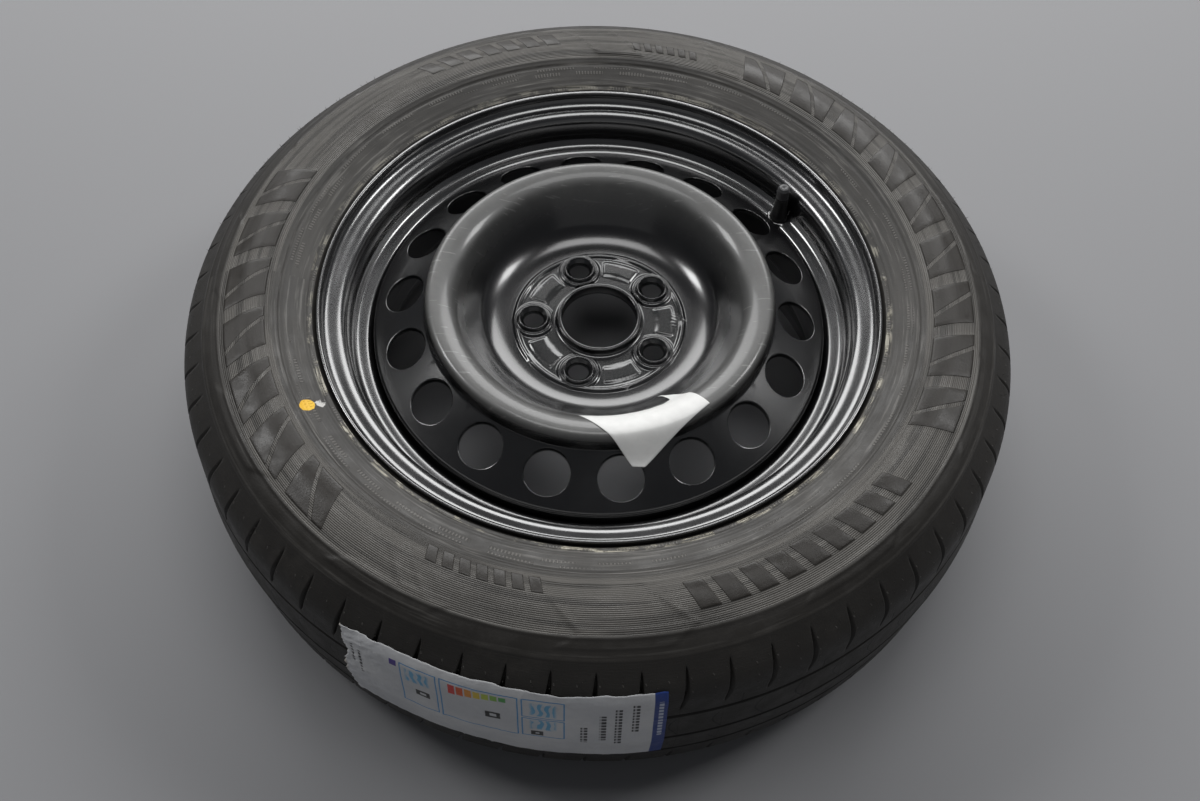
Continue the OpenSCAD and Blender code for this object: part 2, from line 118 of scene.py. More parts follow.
def beside(path, t):
    path = [np.array(p, float) for p in path]
    out = []
    for i, p in enumerate(path):
        ends = ((path[max(i - 1, 0)], path[max(i, 1)]),
                (path[min(i, len(path) - 2)], path[min(i + 1, len(path) - 1)]))
        n1, n2 = (np.array([-(b - a)[1], (b - a)[0]]) / np.linalg.norm(b - a) for a, b in ends)
        out.append(p + t * (n1 + n2) / (1 + n1 @ n2))
    return out


def dense(path, gap):
    out = [np.array(path[0], float)]
    for a, b in zip(path[:-1], path[1:]):
        a, b = np.array(a, float), np.array(b, float)
        n = max(1, math.ceil(np.linalg.norm(b - a) / gap))
        out += [a + (b - a) * k / n for k in range(1, n + 1)]
    return out


def path_normals(path):
    path = np.array(path)
    d = np.gradient(path, axis=0)
    d /= np.linalg.norm(d, axis=1)[:, None]
    return np.stack([-d[:, 1], d[:, 0]], 1)


# Meshes from paths and grids of points
def mesh_object(name, verts, faces, smooth=True):
    me = bpy.data.meshes.new(name)
    me.from_pydata([tuple(v) for v in verts], [], faces)
    me.update()
    if smooth:
        me.polygons.foreach_set("use_smooth", [True] * len(me.polygons))
    ob = bpy.data.objects.new(name, me)
    bpy.context.scene.collection.objects.link(ob)
    return ob


def grid_faces(rows, cols, closed_cols=True, closed_rows=False, flip=False):
    r = np.arange(rows if closed_rows else rows - 1)
    c = np.arange(cols if closed_cols else cols - 1)
    rr, cc = np.meshgrid(r, c, indexing="ij")
    r2, c2 = (rr + 1) % rows, (cc + 1) % cols
    quads = np.stack([rr * cols + cc, rr * cols + c2, r2 * cols + c2, r2 * cols + cc], -1).reshape(-1, 4)
    return (quads[:, ::-1] if flip else quads).tolist()


def polar(r, th, z):
    return np.stack([r * np.cos(th), r * np.sin(th), z], -1).reshape(-1, 3)


def lathe(name, path, segments, closed_path=False, flip=False, a0=0.0, a1=2 * math.pi):
    """Turns a path of (radius, z) in mm round the Z axis."""
    path = np.array(path)
    full = abs(a1 - a0 - 2 * math.pi) < 1e-9
    th = np.linspace(a0, a1, segments, endpoint=not full)
    r, t = np.meshgrid(path[:, 0], th, indexing="ij")
    z = np.repeat(path[:, 1][:, None], len(th), 1)
    return mesh_object(name, polar(r, t, z) * MM, grid_faces(len(path), len(th), full, closed_path, flip))


def outward(ob):
    bm = bmesh.new()
    bm.from_mesh(ob.data)
    bmesh.ops.recalc_face_normals(bm, faces=bm.faces)
    bm.to_mesh(ob.data)
    bm.free()
    return ob


# Materials: colour, roughness and fine relief, all from positions in millimetres
class Mat:
    def __init__(self, name, **sockets):
        self.m = bpy.data.materials.new(name)
        self.m.use_nodes = True
        self.t = self.m.node_tree
        self.b = self.t.nodes["Principled BSDF"]
        for k, v in sockets.items():
            self.b.inputs[k.replace("_", " ")].default_value = v

    def node(self, kind, **inputs):
        n = self.t.nodes.new(kind)
        for k, v in inputs.items():
            if k.startswith("at_"):
                n.inputs[int(k[3:])].default_value = v
            elif k.startswith("in_"):
                self.t.links.new(v, n.inputs[int(k[3:])])
            else:
                setattr(n, k, v)
        return n

    def math(self, op, a, b=None, c=None, clamp=False):
        n = self.t.nodes.new("ShaderNodeMath")
        n.operation, n.use_clamp = op, clamp
        for i, v in enumerate((a, b, c)):
            if v is None:
                continue
            if isinstance(v, (int, float)):
                n.inputs[i].default_value = v
            else:
                self.t.links.new(v, n.inputs[i])
        return n.outputs[0]

    def step(self, v, low, high, a=0.0, b=1.0):
        n = self.node("ShaderNodeMapRange", interpolation_type="SMOOTHSTEP", in_0=v)
        for i, x in zip((1, 2, 3, 4), (low, high, a, b)):
            n.inputs[i].default_value = x
        return n.outputs[0]

    def band(self, v, low, high, soft):
        return self.math("MULTIPLY", self.step(v, low - soft, low + soft),
                         self.step(v, high - soft, high + soft, 1.0, 0.0))

    def coords(self):
        """Object coordinates in mm, with the radius and the angle round Z in degrees."""
        tc = self.node("ShaderNodeTexCoord")
        s = self.node("ShaderNodeSeparateXYZ", in_0=tc.outputs["Object"])
        x, y, z = (self.math("MULTIPLY", o, 1000.0) for o in s.outputs)
        r = self.math("SQRT", self.math("ADD", self.math("MULTIPLY", x, x), self.math("MULTIPLY", y, y)))
        a = self.math("MULTIPLY", self.math("ARCTAN2", y, x), 180 / math.pi)
        return tc.outputs["Object"], x, y, z, r, a

    def noise(self, vector, scale, detail=4.0, rough=0.55, distortion=0.0):
        n = self.node("ShaderNodeTexNoise", in_0=vector)
        n.inputs["Scale"].default_value = scale
        n.inputs["Detail"].default_value = detail
        n.inputs["Roughness"].default_value = rough
        n.inputs["Distortion"].default_value = distortion
        return n.outputs[0]

    def mix(self, fac, a, b):
        n = self.t.nodes.new("ShaderNodeMix")
        n.data_type = "RGBA"
        for i, v in ((0, fac), (6, a), (7, b)):
            if isinstance(v, (int, float, tuple)):
                n.inputs[i].default_value = v
            else:
                self.t.links.new(v, n.inputs[i])
        return n.outputs[2]

    def bump(self, height, distance, strength=1.0, under=None):
        n = self.t.nodes.new("ShaderNodeBump")
        self.t.links.new(height, n.inputs["Height"])
        n.inputs["Distance"].default_value = distance
        n.inputs["Strength"].default_value = strength
        if under is not None:
            self.t.links.new(under, n.inputs["Normal"])
        return n.outputs[0]

    def out(self, socket, name):
        self.t.links.new(socket, self.b.inputs[name])


def rgb(r, g, b):
    return (r, g, b, 1.0)


BLOCK_ROWS = (  # raised block rows of the sidewall: first angle, count, pitch, width, inner and outer radius
    (157.0, 7, 10.6, 8.2, 241.5, 270.5), (-28.0, 9, 10.4, 8.2, 241.5, 270.5),
    (284.0, 9, 4.3, 3.1, 245.0, 264.0),
    (245.5, 7, 2.7, 1.9, 239.5, 250.5), (99.0, 7, 3.8, 2.8, 251.0, 268.0), (73.0, 6, 2.2, 1.5, 245.0, 254.0))
LEAN = 0.085
PANELS = ((86.0, 95.0), (66.0, 71.0), (240.0, 244.5), (264.5, 281.0))


def rubber_base(m, vec):
    fine, broad, mid = m.noise(vec, 700.0, 3.0), m.noise(vec, 9.0, 5.0, 0.6), m.noise(vec, 60.0, 5.0, 0.65)
    base = m.mix(m.step(broad, 0.35, 0.68), rgb(0.028, 0.0258, 0.0228), rgb(0.05, 0.0465, 0.0415))
    base = m.mix(m.math("MULTIPLY", m.step(mid, 0.5, 0.75), 0.35), base, rgb(0.085, 0.08, 0.073))
    return fine, broad, mid, base


def sidewall_material(name):
    m = Mat(name, Roughness=0.6)
    m.b.inputs["Specular IOR Level"].default_value = 0.42
    vec, x, y, z, r, a = m.coords()
    fine, broad, mid, base = rubber_base(m, vec)
    height = m.math("MULTIPLY", fine, 0.3)
    turn = m.math("FLOORED_MODULO", a, 360.0)
    blocks = None
    for a0, n, pitch, wide, r0, r1 in BLOCK_ROWS:
        lean = m.math("MULTIPLY", m.math("SUBTRACT", r, 255.0), LEAN)
        u = m.math("FLOORED_MODULO", m.math("SUBTRACT", m.math("SUBTRACT", a, lean), a0), 360.0)
        cell = m.math("MODULO", u, pitch)
        one = m.math("MULTIPLY", m.band(cell, 0.15, wide, 0.08),
                     m.step(u, n * pitch - 0.1, n * pitch, 1.0, 0.0))
        one = m.math("MULTIPLY", one, m.band(r, r0, r1, 0.35))
        if wide > 5:
            slant = m.math("MULTIPLY", m.math("SUBTRACT", r, 0.5 * (r0 + r1)), 0.11)
            gap = m.band(m.math("SUBTRACT", cell, slant), wide * 0.46, wide * 0.56, 0.08)
            one = m.math("MULTIPLY", one, m.math("SUBTRACT", 1.0, gap))
        blocks = one if blocks is None else m.math("MAXIMUM", blocks, one)
    band = m.band(r, 236.6, 274.0, 0.4)
    pale = m.math("MULTIPLY", band, m.step(broad, 0.25, 0.6, 0.45, 0.95))
    base = m.mix(pale, base, rgb(0.115, 0.108, 0.097))
    flow = m.node("ShaderNodeCombineXYZ", in_0=m.math("MULTIPLY", r, 0.35), in_1=m.math("MULTIPLY", a, 0.06))
    wipe = m.noise(flow.outputs[0], 1.1, 4.0, 0.6)
    base = m.mix(m.math("MULTIPLY", m.step(wipe, 0.52, 0.68), 0.55), base, rgb(0.19, 0.182, 0.168))
    base = m.mix(m.math("MULTIPLY", m.step(m.noise(flow.outputs[0], 0.5, 3.0), 0.48, 0.6), 0.7), base,
                 rgb(0.026, 0.024, 0.021))
    hatch = m.math("SINE", m.math("MULTIPLY", r, 2 * math.pi / 1.25))
    lines = m.math("MULTIPLY", m.math("MULTIPLY", hatch, band), m.math("SUBTRACT", 1.0, blocks))
    height = m.math("ADD", height, m.math("MULTIPLY", lines, 0.35))
    # The troughs of the hatch lines are painted darker: painted shade in the fine grooves.
    base = m.mix(m.math("MULTIPLY", m.step(lines, -0.6, -0.1, 0.4, 0.0), band), base,
                 rgb(0.045, 0.042, 0.039))
    base = m.mix(m.math("MULTIPLY", blocks, 0.9), base, rgb(0.018, 0.015, 0.012))
    height = m.math("ADD", height, m.math("MULTIPLY", blocks, 1.2))
    rough = m.step(mid, 0.3, 0.7, 0.38, 0.56)
    rough = m.math("SUBTRACT", rough, m.math("MULTIPLY", blocks, 0.06))
    small = m.math("MODULO", turn, 0.62)
    words = m.step(m.noise(flow.outputs[0], 0.35, 1.0), 0.47, 0.49)
    marks = None
    for r0, r1, group in ((223.0, 225.6, 9.0), (210.6, 212.6, 7.0), (227.6, 229.4, 12.0)):
        g = m.math("MODULO", turn, group)
        row = m.math("MULTIPLY", m.math("MULTIPLY", m.band(small, 0.1, 0.42, 0.05), m.band(r, r0, r1, 0.15)),
                     m.band(g, 0.8, group * 0.72, 0.05))
        marks = row if marks is None else m.math("MAXIMUM", marks, row)
    marks = m.math("MULTIPLY", marks, words)
    height = m.math("ADD", height, m.math("MULTIPLY", marks, 0.9))
    base = m.mix(m.math("MULTIPLY", marks, 0.45), base, rgb(0.2, 0.19, 0.175))
    streak = m.noise(flow.outputs[0], 2.2, 5.0, 0.62)
    near = m.step(m.math("SINE", m.math("MULTIPLY", m.math("ADD", a, -5.0), math.pi / 180)),
                  -0.75, 0.5, 1.0, 0.35)
    smear = m.math("MULTIPLY", m.band(r, 207.2, 213.8, 1.2), m.step(streak, 0.44, 0.54))
    smear = m.math("MULTIPLY",
                   m.math("MULTIPLY", smear, m.step(m.noise(vec, 55.0, 5.0, 0.65), 0.46, 0.56)), near)
    base = m.mix(m.math("MULTIPLY", smear, 0.85), base, rgb(0.5, 0.47, 0.38))
    height = m.math("ADD", height, m.math("MULTIPLY", smear, 1.0))
    rough = m.math("SUBTRACT", rough, m.math("MULTIPLY", smear, 0.28))
    wet = m.band(r, 205.5, 209.5, 1.0)
    rough = m.math("SUBTRACT", rough, m.math("MULTIPLY", wet, 0.2))
    dark = m.math("MULTIPLY", m.band(r, 276.0, 291.0, 0.7), 0.6)
    base = m.mix(dark, base, rgb(0.02, 0.018, 0.016))
    spot_a = math.radians(-150.5)

    def spot(rr, ang, size, wobble):
        dx = m.math("SUBTRACT", x, rr * math.cos(ang))
        dy = m.math("SUBTRACT", y, rr * math.sin(ang))
        d = m.math("SQRT", m.math("ADD", m.math("MULTIPLY", dx, dx), m.math("MULTIPLY", dy, dy)))
        d = m.math("ADD", d, m.math("MULTIPLY", m.math("SUBTRACT", m.noise(vec, 220.0, 3.0), 0.5), wobble))
        return m.math("MULTIPLY", m.step(d, size - 0.25, size + 0.25, 1.0, 0.0), m.step(z, 0.0, 5.0))
    dot = spot(227.0, spot_a, 5.0, 1.6)
    base = m.mix(dot, base, m.mix(m.step(mid, 0.35, 0.7), rgb(0.86, 0.47, 0.012), rgb(0.95, 0.6, 0.05)))
    chalk = m.math("MULTIPLY", spot(217.7, math.radians(-150.2), 3.2, 9.0),
                   m.step(m.noise(vec, 300.0, 4.0), 0.42, 0.52))
    base = m.mix(chalk, base, rgb(0.62, 0.61, 0.58))
    m.out(base, "Base Color")
    m.out(rough, "Roughness")
    m.out(m.bump(height, 0.0005, 0.75), "Normal")
    return m.m


def tread_material(name):
    m = Mat(name, Roughness=0.6)
    m.b.inputs["Specular IOR Level"].default_value = 0.45
    vec, x, y, z, r, a = m.coords()
    fine, broad, mid, base = rubber_base(m, vec)
    base = m.mix(0.7, base, rgb(0.012, 0.0105, 0.009))
    lift = m.math("MULTIPLY", m.step(m.noise(vec, 25.0, 6.0, 0.7), 0.5, 0.72), 0.35)
    base = m.mix(lift, base, rgb(0.055, 0.05, 0.044))
    scuff = m.node("ShaderNodeMapping", in_0=vec)
    scuff.inputs["Scale"].default_value = (40.0, 40.0, 400.0)
    height = m.math("ADD", m.math("MULTIPLY", fine, 0.35),
                    m.math("MULTIPLY", m.noise(scuff.outputs[0], 3.0, 4.0), 0.5))
    turn = m.math("FLOORED_MODULO", a, 360.0)
    outer_face = m.step(r, 294.0, 298.0)
    bend = m.math("MULTIPLY", m.math("SINE", m.math("MULTIPLY", z, 2 * math.pi / 30)), 0.55)
    cell = m.math("FLOORED_MODULO", m.math("ADD", turn, bend), 360 / 66)
    sipe = m.math("MULTIPLY", m.band(cell, 2.0, 2.16, 0.03),
                  m.math("MAXIMUM", m.band(z, -36.0, -11.0, 0.4), m.band(z, -69.0, -52.0, 0.4)))
    cell2 = m.math("FLOORED_MODULO", turn, 360 / 33)
    shoulder = m.math("MULTIPLY", m.band(cell2, 4.9, 5.06, 0.03), m.band(z, -4.0, 7.0, 0.4))
    cuts = m.math("MULTIPLY", m.math("MAXIMUM", sipe, shoulder), outer_face)
    # The sipes and shoulder slots are painted near black: painted shade inside the cuts.
    base = m.mix(cuts, base, rgb(0.004, 0.004, 0.004))
    height = m.math("SUBTRACT", height, m.math("MULTIPLY", cuts, 2.2))
    u = m.math("MULTIPLY", m.math("FLOORED_MODULO", turn, 360 / 132), 5.4)
    v = m.math("FLOORED_MODULO", m.math("ADD", z, m.math("MULTIPLY", u, 0.45)), 7.5)
    du, dv = m.math("SUBTRACT", u, 7.3), m.math("SUBTRACT", v, 3.6)
    d = m.math("SQRT", m.math("ADD", m.math("MULTIPLY", du, du), m.math("MULTIPLY", dv, dv)))
    dots = m.math("MULTIPLY", m.step(d, 0.45, 0.8, 1.0, 0.0), m.band(z, 5.0, 34.0, 1.0))
    dots = m.math("MULTIPLY", dots, m.step(mid, 0.4, 0.5))
    height = m.math("ADD", height, m.math("MULTIPLY", dots, 2.0))
    base = m.mix(m.math("MULTIPLY", dots, 0.35), base, rgb(0.13, 0.12, 0.11))
    m.out(base, "Base Color")
    m.out(m.step(mid, 0.3, 0.7, 0.5, 0.66), "Roughness")
    m.out(m.bump(height, 0.0005, 0.8), "Normal")
    return m.m


def paint_material(name, ior, scuffs_and_sheen=True):
    m = Mat(name, Metallic=0.0, IOR=ior)
    m.b.inputs["Coat Weight"].default_value = 0.5
    m.b.inputs["Coat Roughness"].default_value = 0.12
    vec, _, _, _, r, _ = m.coords()
    broad, fine, mid = m.noise(vec, 11.0, 5.0, 0.6), m.noise(vec, 260.0, 3.0), m.noise(vec, 70.0, 6.0, 0.7)
    base = m.mix(m.step(broad, 0.4, 0.7), rgb(0.004, 0.004, 0.0045), rgb(0.0075, 0.0075, 0.008))
    rough = m.step(broad, 0.3, 0.75, 0.2, 0.27)
    if scuffs_and_sheen:
        crest = m.math("MULTIPLY", m.step(r, 92.0, 119.0), m.step(r, 126.5, 130.5, 1.0, 0.0))
        # The crest ring is painted lighter grey, fading inwards from r 119 to 92 mm: partly real wear, partly
        # a painted satin sheen.
        wear_and_sheen = m.math("MULTIPLY", crest, m.step(mid, 0.38, 0.7, 0.8, 1.0))
        rough = m.math("ADD", rough, m.math("MULTIPLY", wear_and_sheen, 0.27))
        base = m.mix(m.math("MULTIPLY", wear_and_sheen, 0.8), base, rgb(0.105, 0.105, 0.1))
        stain = m.math("MULTIPLY", m.step(m.noise(vec, 28.0, 6.0, 0.7), 0.52, 0.66), crest)
        base = m.mix(m.math("MULTIPLY", stain, 0.3), base, rgb(0.045, 0.04, 0.036))
        thin = m.node("ShaderNodeMapping", in_0=vec)
        thin.inputs["Scale"].default_value = (30.0, 260.0, 60.0)
        thin.inputs["Rotation"].default_value = (0.0, 0.0, 0.7)
        scratch = m.math("MULTIPLY", m.step(m.noise(thin.outputs[0], 1.6, 3.0, 0.5), 0.64, 0.68), crest)
        base = m.mix(m.math("MULTIPLY", scratch, 0.35), base, rgb(0.3, 0.3, 0.29))
    dust = m.math("MULTIPLY", m.step(m.noise(vec, 420.0, 2.0, 0.5), 0.7, 0.76), m.step(broad, 0.45, 0.7))
    base = m.mix(m.math("MULTIPLY", dust, 0.18), base, rgb(0.25, 0.25, 0.24))
    height = m.math("ADD", m.math("MULTIPLY", fine, 0.25), m.math("MULTIPLY", mid, 0.5))
    m.out(base, "Base Color")
    m.out(rough, "Roughness")
    m.out(m.bump(height, 0.00005, 0.6), "Normal")
    return m.m


def label_material(name):
    """Printed tread label: coloured bars, pale fields, frames and dark marks on creased white paper."""
    m = Mat(name, Roughness=0.42)
    vec, x, y, z, r, a = m.coords()
    broad, fine, crease = m.noise(vec, 20.0, 5.0, 0.6), m.noise(vec, 500.0, 3.0), \
        m.noise(vec, 45.0, 6.0, 0.72)
    s = m.math("MULTIPLY", m.math("ADD", a, 121.5), 310.0 * math.pi / 180)
    v = m.math("SUBTRACT", 27.0, z)
    base = m.mix(m.step(broad, 0.35, 0.7), rgb(0.66, 0.67, 0.69), rgb(0.78, 0.785, 0.79))

    def rect(s0, s1, v0, v1, soft=0.25):
        return m.math("MULTIPLY", m.band(s, s0, s1, soft), m.band(v, v0, v1, soft))

    def frame(s0, s1, v0, v1, w=0.9):
        return m.math("SUBTRACT", rect(s0, s1, v0, v1), rect(s0 + w, s1 - w, v0 + w, v1 - w))
    bars = ((0.75, 0.03, 0.02), (0.8, 0.12, 0.02), (0.85, 0.33, 0.03), (0.85, 0.62, 0.05), (0.55, 0.66, 0.06),
            (0.28, 0.55, 0.08), (0.1, 0.42, 0.1))
    for k, c in enumerate(bars):
        base = m.mix(rect(80.0 + 5.6 * k, 84.6 + 5.6 * k, 11.0, 24.0 - 1.1 * k), base, rgb(*c))
    blue = rgb(0.06, 0.3, 0.62)
    swirl = m.node("ShaderNodeTexWave", in_0=vec)
    swirl.inputs["Scale"].default_value = 55.0
    swirl.inputs["Distortion"].default_value = 9.0
    swirl.inputs["Detail"].default_value = 1.5
    for f in ((50.0, 66.0, 12.0, 29.0), (134.0, 150.0, 12.0, 30.0), (134.0, 150.0, 36.0, 50.0)):
        patch = m.math("MULTIPLY", rect(*f, 1.6), m.step(swirl.outputs[1], 0.35, 0.6, 0.2, 0.95))
        base = m.mix(patch, base, rgb(0.13, 0.45, 0.72))
    for f in ((46.0, 72.0, 8.0, 62.0), (74.0, 126.0, 8.0, 62.0), (128.0, 156.0, 8.0, 33.0),
              (128.0, 156.0, 34.5, 62.0)):
        base = m.mix(frame(*f), base, blue)
    base = m.mix(rect(39.0, 44.0, 8.0, 15.0), base, rgb(0.07, 0.03, 0.3))
    for f in ((56.0, 66.0, 38.0, 46.0), (104.0, 114.0, 36.0, 45.0), (134.0, 142.0, 53.0, 60.0)):
        mark = m.math("SUBTRACT", rect(*f), rect(f[0] + 3.0, f[1] - 2.5, f[2] + 2.4, f[3] - 2.4))
        base = m.mix(mark, base, rgb(0.02, 0.02, 0.02))
    chop = m.band(m.math("FLOORED_MODULO", v, 4.6), 0.5, 3.8, 0.15)
    notch = m.step(m.math("ABSOLUTE", m.math("SUBTRACT", m.math("FLOORED_MODULO", s, 5.5), 2.7)),
                   0.5, 0.8, 0.35, 1.0)
    for f in ((166.0, 170.5, 42.0, 66.0), (178.0, 182.5, 24.0, 62.0), (188.0, 192.5, 14.0, 68.0),
              (199.0, 203.5, 10.0, 50.0),
              (8.0, 10.5, 16.0, 40.0), (14.0, 16.0, 20.0, 52.0)):
        base = m.mix(m.math("MULTIPLY", m.math("MULTIPLY", rect(*f), chop), notch), base,
                     rgb(0.03, 0.03, 0.032))
    base = m.mix(rect(212.5, 222.0, -6.0, 110.0), base, rgb(0.015, 0.05, 0.26))
    base = m.mix(m.math("MULTIPLY", rect(215.5, 218.5, 8.0, 58.0), chop), base, rgb(0.55, 0.6, 0.72))
    grime = m.math("MULTIPLY", m.step(crease, 0.55, 0.72), m.step(s, 0.0, 34.0, 0.75, 0.12))
    base = m.mix(grime, base, rgb(0.3, 0.29, 0.27))
    tan_edge = m.math("MULTIPLY", m.step(s, 0.5, 3.0, 1.0, 0.0), m.step(broad, 0.4, 0.55))
    base = m.mix(m.math("MULTIPLY", tan_edge, 0.6), base, rgb(0.45, 0.34, 0.2))
    m.out(base, "Base Color")
    m.out(m.step(crease, 0.3, 0.7, 0.3, 0.5), "Roughness")
    m.out(m.bump(m.math("ADD", m.math("MULTIPLY", crease, 3.0), m.math("MULTIPLY", fine, 0.2)), 0.0005, 0.7),
          "Normal")
    return m.m


def simple_material(name, color, rough, metallic=0.0, grain=200.0, depth=0.00008, vary=0.25):
    m = Mat(name, Metallic=metallic)
    vec = m.coords()[0]
    n = m.noise(vec, grain, 4.0)
    low = tuple(c * (1 - vary) for c in color) + (1.0,)
    m.out(m.mix(m.step(n, 0.35, 0.65), low, tuple(color) + (1.0,)), "Base Color")
    m.out(m.step(m.noise(vec, grain * 2.1, 3.0), 0.3, 0.7, rough * 0.85, min(1.0, rough * 1.15)), "Roughness")
    m.out(m.bump(n, depth, 0.6), "Normal")
    return m.m


paint = paint_material("black_gloss_paint", 1.75)
paint_plain = paint_material("black_gloss_paint_rim", 2.3, scuffs_and_sheen=False)
sidewall_rubber = sidewall_material("sidewall_rubber")
tread_rubber = tread_material("tread_rubber")
label_paper = label_material("tread_label_print")
brass = simple_material("valve_brass", (0.72, 0.55, 0.26), 0.32, 1.0)
plated = simple_material("valve_plated_steel", (0.62, 0.62, 0.6), 0.3, 1.0)
valve_rubber = simple_material("valve_rubber_black", (0.018, 0.018, 0.018), 0.42, 0.0, 500.0)
cap_plastic = simple_material("cap_grey_plastic", (0.075, 0.075, 0.078), 0.34, 0.0, 300.0)
paper_white = simple_material("sticker_paper", (0.84, 0.84, 0.82), 0.5, 0.0, 120.0, 0.0002, 0.06)


def dress(ob, material, body="wheel"):
    ob.data.materials.clear()
    ob.data.materials.append(material)
    if "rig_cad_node" not in ob:
        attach(ob, body)
    return ob


# Tyre: one half section, mirrored; x is the place along the axle from the rim centre plane
OFFSET = -40.0
TYRE_R, CROWN_DROP, TREAD_HALF = 310.75, 4.9, 63.5
LIP_C = (197.9, 79.35)
outer_half = rounded([
    (TYRE_R, 0), (TYRE_R - CROWN_DROP, TREAD_HALF, 26), (281.0, 88.0, 40), (249.0, 97.1, 36),
    (210.0, 81.05)], 3.0)
outer_r = np.array([p[0] for p in outer_half])
outer_x = np.array([p[1] for p in outer_half])


def crown_r(x):
    sel = outer_r > 262
    return np.interp(np.abs(x), outer_x[sel], outer_r[sel])


SLOTS = 66
TOP_X = 80.5


def slot_width(x, side):
    """Half width of a shoulder slot in mm at axial place x."""
    t = (side * x - 42.5) / 34.0
    w = 1.75 * np.sin(np.pi * np.clip(t, 0, 1)) ** 0.6
    return np.where((t > 0) & (t < 1), w, 0.0)


def tread_piece():
    pitch = 2 * math.pi / SLOTS
    xs = []

    def rows(a, b, gap):
        xs.extend(np.linspace(a, b, max(2, int(abs(b - a) / gap) + 1))[:-1])
    gw, depth = 2.0, 7.0
    rows(-TOP_X, -35.3, 1.7)
    for c in (-33.0, 0.0, 33.0):
        xs.extend([c - gw - 0.35, c - gw, c - gw + 0.25, c + gw - 0.25, c + gw, c + gw + 0.35])
        if c < 33:
            rows(c + gw + 1.0, c + 33 - gw - 0.6, 4.2)
    rows(35.6, TOP_X, 1.7)
    xs.append(TOP_X)
    xs = np.array(xs)
    us = np.array([0.0, 0.12, 0.24, 0.34, 0.42, 0.47, 0.475, 0.525, 0.53, 0.58, 0.66, 0.76, 0.88])
    kind = np.array([0, 0, 0, 0, 0, -1, -2, 2, 1, 0, 0, 0, 0])
    r0 = crown_r(xs)
    groove = np.zeros(len(xs))
    for c in (-33.0, 0.0, 33.0):
        groove = np.maximum(groove, np.where(np.abs(xs - c) <= gw - 0.2, depth, 0.0))
    i, u = np.meshgrid(np.arange(SLOTS), np.arange(len(us)), indexing="ij")
    i, u = i.ravel(), u.ravel()
    verts_r = np.zeros((len(xs), len(i)))
    verts_t = np.zeros_like(verts_r)
    for k, x in enumerate(xs):
        side = 1.0 if x > 0 else -1.0
        w = float(slot_width(x, side)) / (r0[k] * pitch)
        lean = 0.16 * np.sin((side * x - 42.5) / 34.0 * 1.6) * np.clip((side * x - 36) / 12, 0, 1)
        pos = us[u].copy()
        pos = np.where(kind[u] == -1, 0.5 - w - 0.004, pos)
        pos = np.where(kind[u] == -2, 0.5 - w * 0.75, pos)
        pos = np.where(kind[u] == 2, 0.5 + w * 0.75, pos)
        pos = np.where(kind[u] == 1, 0.5 + w + 0.004, pos)
        cut = 5.5 * np.clip(w * r0[k] * pitch / 1.2, 0, 1)
        verts_r[k] = r0[k] - groove[k] - np.where(np.abs(kind[u]) == 2, cut, 0.0)
        verts_t[k] = (i + pos + side * lean) * pitch
    z = np.repeat((xs + OFFSET)[:, None], len(i), 1)
    return mesh_object("tyre_tread", polar(verts_r, verts_t, z) * MM, grid_faces(len(xs), len(i)))


def soft(v, lo, hi, s):
    return np.clip((v - lo) / s + 0.5, 0, 1) * np.clip((hi - v) / s + 0.5, 0, 1)


def sidewall_height(r, deg):
    """Raised and sunk marks of the outer sidewall, in mm."""
    h = np.zeros_like(r)
    for rr, w, hh in ((214.5, 0.8, 0.7), (219.0, 0.6, 0.4), (236.4, 0.7, 0.5), (275.0, 0.9, 0.6),
                      (287.2, 0.8, 0.6), (291.0, 0.9, 0.8)):
        h += hh * np.exp(-((r - rr) / w) ** 2)
    h -= 1.0 * np.exp(-((r - 231.4) / 1.0) ** 2)
    a = np.mod(deg, 360)
    for a0, n, pitch, wide, r0, r1 in BLOCK_ROWS:
        u = np.mod(a - (r - 255.0) * LEAN - a0, 360)
        h += 0.45 * soft(np.mod(u, pitch), 0.2, wide, 0.4) * (u < n * pitch) * soft(r, r0, r1, 1.2)
    for s, e in PANELS:
        slant = (r - 255) * 0.22
        frame_in = soft(a - slant, s, e, 0.4) * soft(r, 240.0, 271.5, 1.2)
        core = soft(a - slant, s + 0.9, e - 0.9, 0.4) * soft(r, 242.4, 269.2, 1.2)
        h += 0.7 * (frame_in - core)
    for k in range(11):
        s = 5 + k * 360 / 11
        step = soft(a - (278 - r) * 0.35, s, s + 15, 0.6) * soft(r, 271.5, 281.5, 1.2)
        h += 0.6 * step
    return h


def sidewall_piece():
    path = [np.array([crown_r(TOP_X), TOP_X])] + [
        p for p in outer_half if p[1] > TOP_X + 0.3 or 0 < p[1] and p[0] < 268]
    path = np.array(dense(path, 1.05))
    nrm = -path_normals(path)
    cols = 860
    th = np.linspace(0, 2 * math.pi, cols, endpoint=False)
    r, t = np.meshgrid(path[:, 0], th, indexing="ij")
    h = sidewall_height(r, np.degrees(t)) * np.clip((path[0, 0] - r) / 1.5, 0, 1)
    z = path[:, 1][:, None] + OFFSET + h * nrm[:, 1][:, None]
    r = r + h * nrm[:, 0][:, None]
    return path, r, t, z, cols


